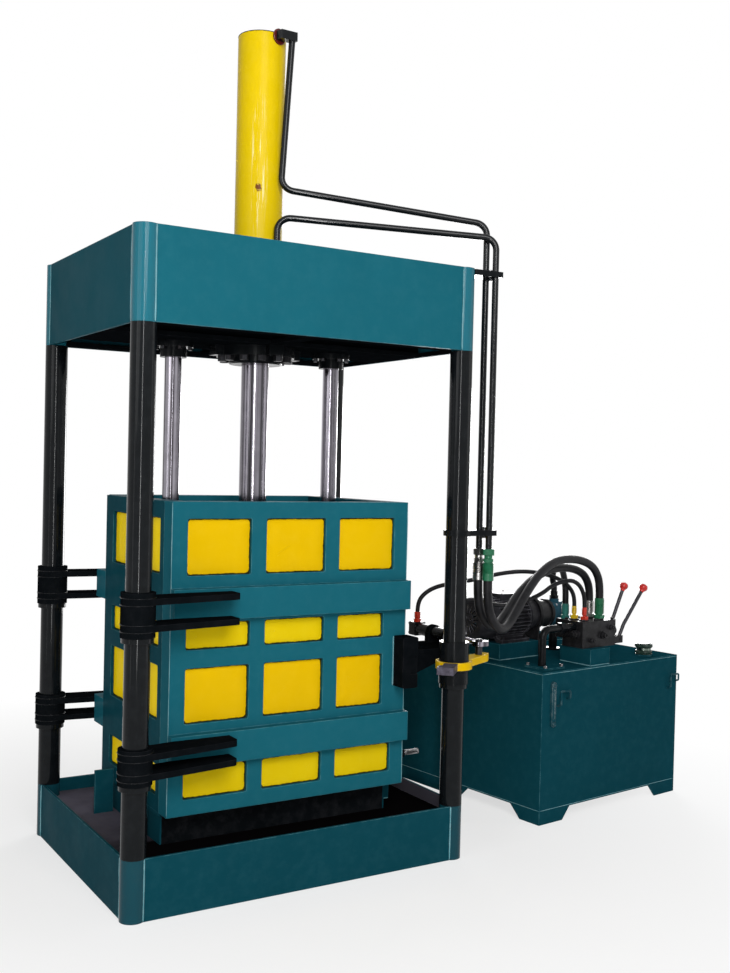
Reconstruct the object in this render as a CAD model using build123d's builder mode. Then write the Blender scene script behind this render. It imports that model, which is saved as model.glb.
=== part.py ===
# Vertical four-column hydraulic baler with its separate power unit.
# Millimetres. X runs along the front, Y to the rear, Z up. The origin is the
# centre of the underside of the baler's base, on the floor.
from build123d import *
import math
import os

os.makedirs("parts", exist_ok=True)

# Clearances
slip = 0.3            # gap round a part that is welded or seated on a curve
run = 0.08            # radial running fit of rods in their glands
turn = 0.5            # radial gap of a sleeve that turns on a column
seat = 1.0            # gap between a door and the wall it closes on

# Frame
frame_w = 1600        # over the base plates, along X
frame_d = 1240        # over the base plates, along Y
plate_t = 12          # base and crown side plates
col_od = 102          # column tube
col_wall = 12
col_inset = 42.5      # column centre inside the plates' outer faces
base_h = 245
deck_z = 185          # top of the recessed deck
deck_t = 10
crown_z = 2315        # underside of the crown
crown_h = 375
crown_floor_t = 20
crown_lid_t = 12
web_y = 175           # crown webs beside the cylinder

col_x = frame_w / 2 - col_inset
col_y = frame_d / 2 - col_inset
crown_top = crown_z + crown_h

# Press cylinder and guides
cyl_od = 220
bore_d = 180
cyl_top = 3745
cap_t = 30
rod_d = 127
flange_d = 360
flange_t = 45
gland_d = 250
gland_t = 32
bolt_circle = 308
bolt_n = 12
bolt_af = 36
bolt_h = 22
guide_x = 404
guide_d = 75
collar_d = 176
collar_t = 25
bush_d = 118
bush_t = 45
platen_top = 1440     # rest height of the platen's upper face
platen_h = 140
platen_t = 30
guide_top = 2650      # rest height of the guide rods' ends
piston_z = 2800       # rest height of the piston's underside
piston_t = 90

# Baling chamber
chamber_w = 1146      # over the side walls and doors, along X
side_t = 80
side_y = 360          # half depth of the side walls
chamber_z = 330
chamber_h = 1290
skin_t = 10           # inner lining
recess = 15           # panels lie this far inside the ribs
panel_t = 3
door_t = 85
band_h = 130
band_out = 40
band_zs = (603, 1200)                     # centres of the two strong bands
rows = ((395, 525), (705, 935), (1010, 1120), (1315, 1550))
stile = 70
lock_stile = 120      # wider stile beside the lock
rear_inset = 40       # the rear door's slab is this much narrower each side
bed_t = 14
gusset_w = 86         # upright gussets beside the chamber's foot
gusset_h = 195
gusset_y = 200
platen_gap = 12

door_in = side_y + seat
door_out = door_in + door_t
band_face = door_out + band_out
inner_x = chamber_w / 2 - side_t

# Door hinges
sleeve_od = 136
sleeve_zs = ((530, 670), (1100, 1275))
arm_zs = (563, 641, 1137, 1240)
arm_t = 25
arm_tip_x = -318
arm_tip_d = 95        # how far the arm stands out from the band at its tip
thrust_od = 128
thrust_t = 20

# Door lock
keeper_x0 = 511
keeper_x1 = 592
keeper_z0 = 783
keeper_h = 230
keeper_out = 83       # how far the keeper stands out from the door's face
lock_z = 868          # underside of the lock plate
lock_t = 34
lock_w = 60
lock_reach = 200      # hook end, from the column's centre
lock_turn = 45        # released position, measured from the locked one
drive_reach = 300
drive_pin_r = 225
drive_angle = lock_turn / 2   # the pin swings evenly about the X direction
lock_sleeve_z0 = 800
lock_sleeve_z1 = 990
pad_t = 15
lock_cyl_od = 60
lock_rod_d = 28
lock_cyl_z = 955
lock_cyl_y0 = -330    # front head
lock_cyl_y1 = 70      # rear head
eye_t = 22
pin_d = 20
pin_play = 1.2        # the pin moves on an arc, the rod's eye in a line

# Steel pipes along the crown and down the front right column
pipe_od = 30
pipe_a_x = frame_w / 2 + 108
pipe_a_y = 72 - frame_d / 2
pipe_b_x = frame_w / 2 + 124
pipe_b_y = 20 - frame_d / 2
pipe_end_z = 1412
pipe_bend = 60

# Power unit: its own frame stands beside the baler, turned a little
unit_x = frame_w / 2 + 617
unit_y = 187 - frame_d / 2
unit_turn = 6.8
tank_l = 1100
tank_d = 720
tank_h = 767
tank_wall = 6
foot_l = 172
foot_d = 134
foot_z = 72           # floor of the tank
notch_z = 65
ped_u = 375
ped_w = 155
ped_v = 12
ped_d = 210
valve_u = 365
valve_v = 55
valve_l = 265
valve_d = 150
valve_z = tank_h + 85
valve_h = 138
port_u = (420, 540)
port_v = (100, 170)
lever_u = 705
lever_od = 20
lever_z = valve_z + 20
motor_v = 500
motor_z = tank_h + 213
motor_d = 224
fin_u0 = 100
fin_u1 = 330
hose_od = 42
thin_od = 22
pump_hose_od = 34
lock_hose_z = lock_cyl_z + 85
return_od = 40
return_z = valve_z + 108
return_u = 126
return_v = 122

# Hinge rows used again and again
corners = [(sx * col_x, sy * col_y) for sx in (-1, 1) for sy in (-1, 1)]
door_w = chamber_w
panel_w = (door_w - 4 * stile) / 3
pitch = panel_w + stile


def level(z):
    return Plane.XY.offset(z)


def front(y):
    # upright plane facing the front, sketch x to the right and y up
    return Plane.XZ.offset(-y)


def side(x):
    # upright plane facing the right, sketch x to the rear and y up
    return Plane.YZ.offset(x)


unit = Plane(
    origin=(unit_x, unit_y, 0),
    x_dir=(math.cos(math.radians(unit_turn)), math.sin(math.radians(unit_turn)), 0),
    z_dir=(0, 0, 1),
)


def unit_at(u, v, z):
    return unit.from_local_coords(Vector(u, v, z))


def unit_level(z):
    return unit.offset(z)


def unit_front(v):
    return Plane(origin=unit_at(0, v, 0), x_dir=unit.x_dir, z_dir=-unit.y_dir)


def unit_side(u):
    return Plane(origin=unit_at(u, 0, 0), x_dir=unit.y_dir, z_dir=unit.x_dir)


# Frame
with BuildPart() as base_frame:
    with BuildSketch(level(0)):
        Rectangle(frame_w, frame_d)
    extrude(amount=plate_t)
    with BuildSketch(level(plate_t)):
        Rectangle(frame_w, frame_d)
        Rectangle(frame_w - 2 * plate_t, frame_d - 2 * plate_t, mode=Mode.SUBTRACT)
    extrude(amount=base_h - plate_t)
    # ribs that carry the deck
    with BuildSketch(level(plate_t)):
        with Locations((0, -side_y + 60), (0, side_y - 60)):
            Rectangle(frame_w - 2 * plate_t, plate_t)
        with Locations((-guide_x, 0), (0, 0), (guide_x, 0)):
            Rectangle(plate_t, frame_d - 2 * plate_t)
    extrude(amount=deck_z - deck_t - plate_t)
    # the column tubes form the corners, so the plates stop at them
    with BuildSketch(level(0)):
        for x, y in corners:
            with Locations((x, y)):
                Circle(col_od / 2 + slip)
            with Locations((math.copysign(col_x + col_inset / 2 + 1, x), math.copysign(col_y + col_inset / 2 + 1, y))):
                Rectangle(col_inset + 2, col_inset + 2)
    extrude(amount=base_h, mode=Mode.SUBTRACT)
    # upright gussets on the deck, against the chamber's side walls
    for sx in (-1, 1):
        for sy in (-1, 1):
            with BuildSketch(front(sy * gusset_y + plate_t / 2)):
                with Locations((sx * (chamber_w / 2 + slip + gusset_w / 2), deck_z + gusset_h / 2)):
                    Rectangle(gusset_w, gusset_h)
            extrude(amount=plate_t)
base_frame.part.label = "base_frame"
export_step(base_frame.part, "parts/base_frame.step")

with BuildPart() as base_deck:
    with BuildSketch(level(deck_z - deck_t)):
        Rectangle(frame_w - 2 * plate_t, frame_d - 2 * plate_t)
        for x, y in corners:
            with Locations((x, y)):
                Circle(col_od / 2 + slip, mode=Mode.SUBTRACT)
            with Locations((math.copysign(col_x + col_inset / 2, x), math.copysign(col_y + col_inset / 2, y))):
                Rectangle(col_inset, col_inset, mode=Mode.SUBTRACT)
    extrude(amount=deck_t)
base_deck.part.label = "base_deck"
export_step(base_deck.part, "parts/base_deck.step")

with BuildPart() as columns:
    with BuildSketch(level(0)):
        for x, y in corners:
            with Locations((x, y)):
                Circle(col_od / 2)
                Circle(col_od / 2 - col_wall, mode=Mode.SUBTRACT)
    extrude(amount=crown_top)
    # closing discs
    with BuildSketch(level(crown_top - col_wall)):
        for x, y in corners:
            with Locations((x, y)):
                Circle(col_od / 2)
    extrude(amount=col_wall)
    # rings welded on under the door's and the lock's sleeves
    rings = [(-col_x, z0) for z0, z1 in sleeve_zs] + [(col_x, lock_sleeve_z0)]
    for x, z in rings:
        with BuildSketch(level(z - slip - thrust_t)):
            for sy in (-1, 1):
                with Locations((x, sy * col_y)):
                    Circle(thrust_od / 2)
                    Circle(col_od / 2 - col_wall, mode=Mode.SUBTRACT)
        extrude(amount=thrust_t)
columns.part.label = "columns"
export_step(columns.part, "parts/columns.step")

with BuildPart() as crown_box:
    with BuildSketch(level(crown_z)):
        Rectangle(frame_w, frame_d)
        Rectangle(frame_w - 2 * plate_t, frame_d - 2 * plate_t, mode=Mode.SUBTRACT)
    extrude(amount=crown_h - crown_lid_t)
    with BuildSketch(level(crown_top - crown_lid_t)):
        Rectangle(frame_w, frame_d)
        Circle(cyl_od / 2 + slip, mode=Mode.SUBTRACT)
        with Locations((-guide_x, 0), (guide_x, 0)):
            Circle(guide_d / 2 + 8, mode=Mode.SUBTRACT)
    extrude(amount=crown_lid_t)
    with BuildSketch(level(crown_z)):
        for x, y in corners:
            with Locations((x, y)):
                Circle(col_od / 2 + slip)
            with Locations((math.copysign(col_x + col_inset / 2 + 1, x), math.copysign(col_y + col_inset / 2 + 1, y))):
                Rectangle(col_inset + 2, col_inset + 2)
    extrude(amount=crown_h, mode=Mode.SUBTRACT)
crown_box.part.label = "crown_box"
export_step(crown_box.part, "parts/crown_box.step")

# The black underside: a floor plate with four openings, two long webs and
# cross ribs, with holes for the cylinder and the guide rods.
with BuildPart() as crown_web:
    with BuildSketch(level(crown_z)):
        Rectangle(frame_w - 2 * plate_t, frame_d - 2 * plate_t)
        rim = 70
        open_y = (frame_d / 2 - plate_t - rim + web_y + 40) / 2
        with Locations((-guide_x, -open_y), (guide_x, -open_y), (-guide_x, open_y), (guide_x, open_y)):
            Rectangle(2 * guide_x - 60, frame_d / 2 - plate_t - rim - web_y - 40, mode=Mode.SUBTRACT)
        Circle(cyl_od / 2 + slip, mode=Mode.SUBTRACT)
        with Locations((-guide_x, 0), (guide_x, 0)):
            Circle(guide_d / 2 + 8, mode=Mode.SUBTRACT)
        for x, y in corners:
            with Locations((x, y)):
                Circle(col_od / 2 + slip, mode=Mode.SUBTRACT)
            with Locations((math.copysign(col_x + col_inset / 2, x), math.copysign(col_y + col_inset / 2, y))):
                Rectangle(col_inset, col_inset, mode=Mode.SUBTRACT)
    extrude(amount=crown_floor_t)
    with BuildSketch(level(crown_z + crown_floor_t)):
        with Locations((0, -web_y), (0, web_y)):
            Rectangle(frame_w - 2 * plate_t, 16)
        for sy in (-1, 1):
            y_mid = sy * (web_y + 8 + (frame_d / 2 - plate_t - web_y - 8) / 2)
            with Locations((0, y_mid)):
                Rectangle(16, frame_d / 2 - plate_t - web_y - 8)
        for sx in (-1, 1):
            with Locations((sx * (cyl_od / 2 + 60), 0)):
                Rectangle(16, 2 * web_y - 16)
    extrude(amount=crown_h - crown_floor_t - crown_lid_t)
crown_web.part.label = "crown_web"
export_step(crown_web.part, "parts/crown_web.step")

# Press cylinder
with BuildPart() as cylinder_tube:
    with BuildSketch(level(crown_z)):
        Circle(cyl_od / 2)
        Circle(bore_d / 2, mode=Mode.SUBTRACT)
    extrude(amount=cyl_top - cap_t - crown_z)
    # domed end cap
    with BuildSketch(level(cyl_top - cap_t)):
        Circle(cyl_od / 2)
    extrude(amount=cap_t)
    fillet(cylinder_tube.faces().sort_by(Axis.Z)[-1].edges(), radius=8)
cylinder_tube.part.label = "cylinder_tube"
export_step(cylinder_tube.part, "parts/cylinder_tube.step")

with BuildPart() as crown_flanges:
    with BuildSketch(level(crown_z - flange_t)):
        Circle(flange_d / 2)
    extrude(amount=flange_t)
    with BuildSketch(level(crown_z - flange_t - gland_t)):
        Circle(gland_d / 2)
    extrude(amount=gland_t)
    chamfer(crown_flanges.faces().sort_by(Axis.Z)[0].edges(), length=6)
    with BuildSketch(level(crown_z - flange_t - gland_t)):
        Circle(rod_d / 2 + run)
    extrude(amount=flange_t + gland_t, mode=Mode.SUBTRACT)
    # four lugs that brace the flange on the crown's floor
    with BuildSketch(level(crown_z - flange_t)):
        with PolarLocations(flange_d / 2 + 12, 4, start_angle=0):
            Rectangle(48, 70)
        Circle(flange_d / 2 - 4, mode=Mode.SUBTRACT)
    extrude(amount=flange_t)
    # collars and bushes of the guide rods
    for sx in (-1, 1):
        with BuildSketch(level(crown_z - collar_t)):
            with Locations((sx * guide_x, 0)):
                Circle(collar_d / 2)
        extrude(amount=collar_t)
        with BuildSketch(level(crown_z - collar_t - bush_t)):
            with Locations((sx * guide_x, 0)):
                Circle(bush_d / 2)
        extrude(amount=bush_t)
        with BuildSketch(level(crown_z - collar_t - bush_t)):
            with Locations((sx * guide_x, 0)):
                Circle(guide_d / 2 + run)
        extrude(amount=collar_t + bush_t, mode=Mode.SUBTRACT)
crown_flanges.part.label = "crown_flanges"
export_step(crown_flanges.part, "parts/crown_flanges.step")

with BuildPart() as crown_bolts:
    with BuildSketch(level(crown_z - flange_t - bolt_h)):
        with PolarLocations(bolt_circle / 2, bolt_n, start_angle=15):
            RegularPolygon(bolt_af / 2, 6, major_radius=False)
    extrude(amount=bolt_h)
    for sx in (-1, 1):
        with BuildSketch(level(crown_z - collar_t - 12)):
            with Locations((sx * guide_x, 0)):
                with PolarLocations(collar_d / 2 - 14, 6, start_angle=30):
                    RegularPolygon(9, 6, major_radius=False)
        extrude(amount=12)
crown_bolts.part.label = "crown_bolts"
export_step(crown_bolts.part, "parts/crown_bolts.step")

with BuildPart() as press_rod:
    with BuildSketch(level(platen_top)):
        Circle(rod_d / 2)
    extrude(amount=piston_z - platen_top)
    with BuildSketch(level(piston_z)):
        Circle(bore_d / 2 - run)
    extrude(amount=piston_t)
press_rod.part.label = "press_rod"
export_step(press_rod.part, "parts/press_rod.step")

with BuildPart() as guide_rods:
    with BuildSketch(level(platen_top)):
        with Locations((-guide_x, 0), (guide_x, 0)):
            Circle(guide_d / 2)
    extrude(amount=guide_top - platen_top)
    chamfer(guide_rods.faces().filter_by(Axis.Z).group_by(Axis.Z)[-1].edges(), length=4)
guide_rods.part.label = "guide_rods"
export_step(guide_rods.part, "parts/guide_rods.step")

platen_w = 2 * (inner_x - platen_gap)
platen_d = 2 * (side_y - platen_gap)
with BuildPart() as platen:
    # pressing plate, with a rib grid under a top plate
    with BuildSketch(level(platen_top - platen_h)):
        RectangleRounded(platen_w, platen_d, 10)
    extrude(amount=platen_t)
    with BuildSketch(level(platen_top - platen_h + platen_t)):
        with Locations((0, -platen_d / 2 + 60), (0, -110), (0, 110), (0, platen_d / 2 - 60)):
            Rectangle(platen_w - 60, 16)
        with Locations((-platen_w / 2 + 60, 0), (-guide_x + 90, 0), (0, 0), (guide_x - 90, 0), (platen_w / 2 - 60, 0)):
            Rectangle(16, platen_d - 120)
    extrude(amount=platen_h - 2 * platen_t)
    with BuildSketch(level(platen_top - platen_t)):
        RectangleRounded(platen_w - 60, platen_d - 100, 10)
    extrude(amount=platen_t)
platen.part.label = "platen"
export_step(platen.part, "parts/platen.step")

# Baling chamber
side_stile_r = 95     # rear stile of a side wall
side_stile_f = 40     # front stile
side_cols = (
    (-side_y + side_stile_f, -60),
    (10, side_y - side_stile_r),
)
with BuildPart() as side_walls:
    for sx in (-1, 1):
        with BuildSketch(side(sx * inner_x)):
            with Locations((0, chamber_z + chamber_h / 2)):
                Rectangle(2 * side_y, chamber_h)
        extrude(amount=sx * side_t)
        with BuildSketch(side(sx * (inner_x + skin_t))):
            for z0, z1 in rows:
                for y0, y1 in side_cols:
                    with Locations(((y0 + y1) / 2, (z0 + z1) / 2)):
                        RectangleRounded(y1 - y0, z1 - z0, 10)
        extrude(amount=sx * (side_t - skin_t), mode=Mode.SUBTRACT)
side_walls.part.label = "side_walls"
export_step(side_walls.part, "parts/side_walls.step")

with BuildPart() as side_panels:
    for sx in (-1, 1):
        with BuildSketch(side(sx * (inner_x + side_t - recess - panel_t))):
            for z0, z1 in rows:
                for y0, y1 in side_cols:
                    with Locations(((y0 + y1) / 2, (z0 + z1) / 2)):
                        RectangleRounded(y1 - y0, z1 - z0, 10)
        extrude(amount=sx * panel_t)
side_panels.part.label = "side_panels"
export_step(side_panels.part, "parts/side_panels.step")

# The bed: a thick plate with strap grooves on a black box
with BuildPart() as chamber_bed:
    with BuildSketch(level(deck_z)):
        Rectangle(chamber_w - 40, 2 * side_y - 60)
        Rectangle(chamber_w - 70, 2 * side_y - 90, mode=Mode.SUBTRACT)
        with Locations((-guide_x / 2, 0), (guide_x / 2, 0)):
            Rectangle(16, 2 * side_y - 60)
    extrude(amount=chamber_z - deck_z - bed_t)
    with BuildSketch(level(chamber_z - bed_t)):
        Rectangle(chamber_w, 2 * side_y)
    extrude(amount=bed_t)
    # grooves for the baling straps, on a raised pad inside the walls
    with BuildSketch(level(chamber_z)):
        Rectangle(2 * inner_x, 2 * side_y)
        with Locations((-360, 0), (-120, 0), (120, 0), (360, 0)):
            Rectangle(22, 2 * side_y, mode=Mode.SUBTRACT)
    extrude(amount=20)
chamber_bed.part.label = "chamber_bed"
export_step(chamber_bed.part, "parts/chamber_bed.step")


def door_windows(inset):
    # x limits of the three panels in each row; the rows beside the lock are narrower
    out = []
    for i, (z0, z1) in enumerate(rows):
        for c in (-1, 0, 1):
            x0 = c * pitch - panel_w / 2
            x1 = c * pitch + panel_w / 2
            if c == -1:
                x0 += inset
            if c == 1:
                x1 -= inset
                if i in (1, 2):
                    x1 = door_w / 2 - lock_stile
            out.append((x0, x1, z0, z1))
    return out


with BuildPart() as front_door:
    with BuildSketch(front(-door_in)):
        with Locations((0, chamber_z + chamber_h / 2)):
            Rectangle(door_w, chamber_h)
    extrude(amount=door_t)
    with BuildSketch(front(-door_in - skin_t)):
        for x0, x1, z0, z1 in door_windows(0):
            with Locations(((x0 + x1) / 2, (z0 + z1) / 2)):
                RectangleRounded(x1 - x0, z1 - z0, 8)
    extrude(amount=door_t - skin_t, mode=Mode.SUBTRACT)
    with BuildSketch(front(-door_out)):
        for z in band_zs:
            with Locations((0, z)):
                Rectangle(door_w, band_h)
    extrude(amount=band_out)
front_door.part.label = "front_door"
export_step(front_door.part, "parts/front_door.step")

with BuildPart() as front_panels:
    with BuildSketch(front(-door_out + recess + panel_t)):
        for x0, x1, z0, z1 in door_windows(0):
            with Locations(((x0 + x1) / 2, (z0 + z1) / 2)):
                RectangleRounded(x1 - x0, z1 - z0, 8)
    extrude(amount=panel_t)
front_panels.part.label = "front_panels"
export_step(front_panels.part, "parts/front_panels.step")

with BuildPart() as rear_door:
    with BuildSketch(front(door_out)):
        with Locations((0, chamber_z + chamber_h / 2)):
            Rectangle(door_w - 2 * rear_inset, chamber_h)
    extrude(amount=door_t)
    with BuildSketch(front(door_out)):
        for x0, x1, z0, z1 in door_windows(0):
            with Locations(((x0 + x1) / 2, (z0 + z1) / 2)):
                RectangleRounded(x1 - x0, z1 - z0, 8)
    extrude(amount=door_t - skin_t, mode=Mode.SUBTRACT)
    with BuildSketch(front(band_face)):
        for z in band_zs:
            with Locations((0, z)):
                Rectangle(door_w, band_h)
    extrude(amount=band_out)
    # the bands' ends reach back to the side walls' corners
    with BuildSketch(front(door_out)):
        for z in band_zs:
            with Locations((-door_w / 2 + rear_inset / 2, z), (door_w / 2 - rear_inset / 2, z)):
                Rectangle(rear_inset, band_h)
    extrude(amount=door_t)
rear_door.part.label = "rear_door"
export_step(rear_door.part, "parts/rear_door.step")

with BuildPart() as rear_panels:
    with BuildSketch(front(door_out - recess)):
        for x0, x1, z0, z1 in door_windows(0):
            with Locations(((x0 + x1) / 2, (z0 + z1) / 2)):
                RectangleRounded(x1 - x0, z1 - z0, 8)
    extrude(amount=panel_t)
rear_panels.part.label = "rear_panels"
export_step(rear_panels.part, "parts/rear_panels.step")

# Door hinges
# Flat forked arms run from a sleeve on the column to the door's bands.
with BuildPart() as front_arms:
    for z in arm_zs:
        with BuildSketch(level(z - arm_t / 2)):
            with BuildLine():
                Polyline(
                    (-col_x, -col_y - sleeve_od / 2),
                    (arm_tip_x, -band_face - arm_tip_d),
                    (arm_tip_x, -band_face),
                    (-door_w / 2, -band_face),
                    (-col_x, -col_y + sleeve_od / 2),
                    close=True,
                )
            make_face()
            with Locations((-col_x, -col_y)):
                Circle(sleeve_od / 2)
                Circle(col_od / 2 + turn, mode=Mode.SUBTRACT)
        extrude(amount=arm_t)
    fillet(front_arms.edges().filter_by(Axis.Z).group_by(Axis.X)[-1].sort_by(Axis.Y)[0:len(arm_zs)], radius=28)
    for z0, z1 in sleeve_zs:
        with BuildSketch(level(z0)):
            with Locations((-col_x, -col_y)):
                Circle(sleeve_od / 2)
                Circle(col_od / 2 + turn, mode=Mode.SUBTRACT)
        extrude(amount=z1 - z0)
front_arms.part.label = "front_arms"
export_step(front_arms.part, "parts/front_arms.step")

with BuildPart() as rear_arms:
    mirror(front_arms.part, about=Plane.XZ)
rear_arms.part.label = "rear_arms"
export_step(rear_arms.part, "parts/rear_arms.step")

# Door lock
latch_x = chamber_w / 2
latch_y = -door_in - 40
latch_z = 455
for name, sy in (("front_keeper", -1), ("rear_keeper", 1)):
    with BuildPart() as keeper:
        with BuildSketch(front(sy * door_out)):
            with Locations(((keeper_x0 + keeper_x1) / 2, keeper_z0 + keeper_h / 2)):
                RectangleRounded(keeper_x1 - keeper_x0, keeper_h, 10)
        extrude(amount=-sy * keeper_out)
        # mouth at the hook's height
        with BuildSketch(front(sy * (door_out + keeper_out))):
            with Locations((keeper_x1 - 18, lock_z + lock_t / 2)):
                Rectangle(40, 80)
        extrude(amount=sy * 6, mode=Mode.SUBTRACT)
        if sy < 0:
            # small bracket of the hand bolt at the foot of the door's right edge
            with BuildSketch(side(latch_x)):
                with Locations((latch_y, latch_z)):
                    RectangleRounded(50, 90, 6)
            extrude(amount=6)
            with BuildSketch(side(latch_x + 6)):
                with Locations((latch_y - 13, latch_z), (latch_y + 13, latch_z)):
                    Rectangle(6, 34)
            extrude(amount=26)
            with BuildSketch(front(latch_y - 16)):
                with Locations((latch_x + 20, latch_z)):
                    Circle(4)
            extrude(amount=-32)
    keeper.part.label = name
    export_step(keeper.part, f"parts/{name}.step")

hook_dir = math.radians(180 + lock_turn)
drive_dir = math.radians(drive_angle)
lock_plane = Plane(origin=(col_x, -col_y, lock_z), x_dir=(math.cos(hook_dir), math.sin(hook_dir), 0), z_dir=(0, 0, 1))
drive_plane = Plane(origin=(col_x, -col_y, lock_z), x_dir=(math.cos(drive_dir), math.sin(drive_dir), 0), z_dir=(0, 0, 1))
with BuildPart() as lock_plate:
    with BuildSketch(lock_plane):
        Circle(sleeve_od / 2 + 16)
        with Locations((lock_reach / 2, 0)):
            Rectangle(lock_reach, lock_w)
    extrude(amount=lock_t)
    with BuildSketch(drive_plane):
        with BuildLine():
            Polyline((0, -46), (drive_reach - 40, -30), (drive_reach, -12), (drive_reach, 22), (0, 46), close=True)
        make_face()
    extrude(amount=lock_t)
    with BuildSketch(lock_plane):
        Circle(sleeve_od / 2 + slip)
    extrude(amount=lock_t, mode=Mode.SUBTRACT)
    with BuildSketch(drive_plane):
        with Locations((drive_pin_r, 0)):
            Circle(pin_d / 2)
    extrude(amount=lock_t, mode=Mode.SUBTRACT)
    # pad on the hook that presses on the keeper
    with BuildSketch(lock_plane):
        with Locations((lock_reach - 28, -lock_w / 2 - pad_t / 2)):
            Rectangle(56, pad_t)
    extrude(amount=lock_t)
lock_plate.part.label = "lock_plate"
export_step(lock_plate.part, "parts/lock_plate.step")

with BuildPart() as lock_sleeve:
    with BuildSketch(level(lock_sleeve_z0)):
        with Locations((col_x, -col_y)):
            Circle(sleeve_od / 2)
            Circle(col_od / 2 + turn, mode=Mode.SUBTRACT)
    extrude(amount=lock_sleeve_z1 - lock_sleeve_z0)
lock_sleeve.part.label = "lock_sleeve"
export_step(lock_sleeve.part, "parts/lock_sleeve.step")

with BuildPart() as rear_lock:
    mirror(lock_plate.part, about=Plane.XZ)
rear_lock.part.label = "rear_lock"
export_step(rear_lock.part, "parts/rear_lock.step")

with BuildPart() as rear_lock_sleeve:
    mirror(lock_sleeve.part, about=Plane.XZ)
rear_lock_sleeve.part.label = "rear_lock_sleeve"
export_step(rear_lock_sleeve.part, "parts/rear_lock_sleeve.step")

# The lock's pin goes through the drive arm and the slotted eye of the rod
pin_x = col_x + drive_pin_r * math.cos(drive_dir)
pin_y = -col_y + drive_pin_r * math.sin(drive_dir)
slot_half = drive_pin_r * (1 - math.cos(drive_dir)) / 2 + pin_play
lock_cyl_x = col_x + drive_pin_r * (1 + math.cos(drive_dir)) / 2
eye_top = lock_cyl_z + eye_t / 2

with BuildPart() as lock_pin:
    with BuildSketch(level(lock_z - 8)):
        with Locations((pin_x, pin_y)):
            Circle(pin_d / 2 + 6)
    extrude(amount=8)
    with BuildSketch(level(lock_z)):
        with Locations((pin_x, pin_y)):
            Circle(pin_d / 2)
    extrude(amount=eye_top + slip - lock_z)
    # spacer between the arm and the eye, then the head
    with BuildSketch(level(lock_z + lock_t)):
        with Locations((pin_x, pin_y)):
            Circle(pin_d / 2 + 7)
    extrude(amount=lock_cyl_z - eye_t / 2 - slip - lock_z - lock_t)
    with BuildSketch(level(eye_top + slip)):
        with Locations((pin_x, pin_y)):
            Circle(pin_d / 2 + 7)
    extrude(amount=10)
lock_pin.part.label = "lock_pin"
export_step(lock_pin.part, "parts/lock_pin.step")

with BuildPart() as lock_rod:
    with BuildSketch(level(lock_cyl_z - eye_t / 2)):
        with Locations((lock_cyl_x, pin_y)):
            SlotOverall(2 * slot_half + pin_d + 2 * pin_play + 44, pin_d + 2 * pin_play + 40)
    extrude(amount=eye_t)
    with BuildSketch(front(pin_y + pin_d / 2 + 16)):
        with Locations((lock_cyl_x, lock_cyl_z)):
            Circle(lock_rod_d / 2)
    extrude(amount=-(lock_cyl_y1 - 110 - pin_y - pin_d / 2 - 16))
    with BuildSketch(front(lock_cyl_y1 - 110)):
        with Locations((lock_cyl_x, lock_cyl_z)):
            Circle(lock_cyl_od / 2 - 6 - run)
    extrude(amount=-40)
    with BuildSketch(level(lock_cyl_z - eye_t / 2)):
        with Locations((lock_cyl_x, pin_y)):
            SlotCenterToCenter(2 * slot_half, pin_d + 2 * pin_play)
    extrude(amount=eye_t, mode=Mode.SUBTRACT)
lock_rod.part.label = "lock_rod"
export_step(lock_rod.part, "parts/lock_rod.step")

front_port_y = lock_cyl_y0 + 26
rear_port_y = lock_cyl_y1 - 30
with BuildPart() as lock_cylinder:
    with BuildSketch(front(lock_cyl_y0)):
        with Locations((lock_cyl_x, lock_cyl_z)):
            Circle(lock_cyl_od / 2)
    extrude(amount=-(lock_cyl_y1 - lock_cyl_y0))
    # heads are square blocks with the ports on top
    for y in (front_port_y, rear_port_y):
        with BuildSketch(front(y - 26)):
            with Locations((lock_cyl_x, lock_cyl_z)):
                RectangleRounded(lock_cyl_od + 8, lock_cyl_od + 8, 8)
        extrude(amount=-52)
    with BuildSketch(front(lock_cyl_y0 + 24)):
        with Locations((lock_cyl_x, lock_cyl_z)):
            Circle(lock_cyl_od / 2 - 6)
    extrude(amount=-(lock_cyl_y1 - lock_cyl_y0 - 48), mode=Mode.SUBTRACT)
    with BuildSketch(front(lock_cyl_y0)):
        with Locations((lock_cyl_x, lock_cyl_z)):
            Circle(lock_rod_d / 2 + run)
    extrude(amount=-30, mode=Mode.SUBTRACT)
lock_cylinder.part.label = "lock_cylinder"
export_step(lock_cylinder.part, "parts/lock_cylinder.step")

# A shelf on the chamber's right wall carries the lock cylinder
shelf_y0 = -290
shelf_y1 = -60
head_drop = lock_cyl_od / 2
with BuildPart() as lock_shelf:
    with BuildSketch(level(lock_cyl_z - head_drop - 30)):
        with Locations(((chamber_w / 2 + lock_cyl_x + 45) / 2, (shelf_y0 + shelf_y1) / 2)):
            Rectangle(lock_cyl_x + 45 - chamber_w / 2, shelf_y1 - shelf_y0)
    extrude(amount=12)
    for y in (shelf_y0 + 6, shelf_y1 - 6):
        with BuildSketch(front(y - 5)):
            with BuildLine():
                Polyline(
                    (chamber_w / 2, lock_cyl_z - head_drop - 30),
                    (lock_cyl_x, lock_cyl_z - head_drop - 30),
                    (lock_cyl_x, lock_cyl_z - head_drop - 50),
                    (chamber_w / 2, lock_cyl_z - head_drop - 190),
                    close=True,
                )
            make_face()
        extrude(amount=-10)
    # saddles with straps round the cylinder
    for y in (shelf_y0 + 45, shelf_y1 - 45):
        with BuildSketch(front(y - 15)):
            with Locations((lock_cyl_x, lock_cyl_z - head_drop - 18 + (head_drop + 18) / 2)):
                Rectangle(84, head_drop + 18)
            with Locations((lock_cyl_x, lock_cyl_z)):
                Circle(lock_cyl_od / 2 + 8)
                Circle(lock_cyl_od / 2 + 0.05, mode=Mode.SUBTRACT)
        extrude(amount=-30)
lock_shelf.part.label = "lock_shelf"
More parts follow.
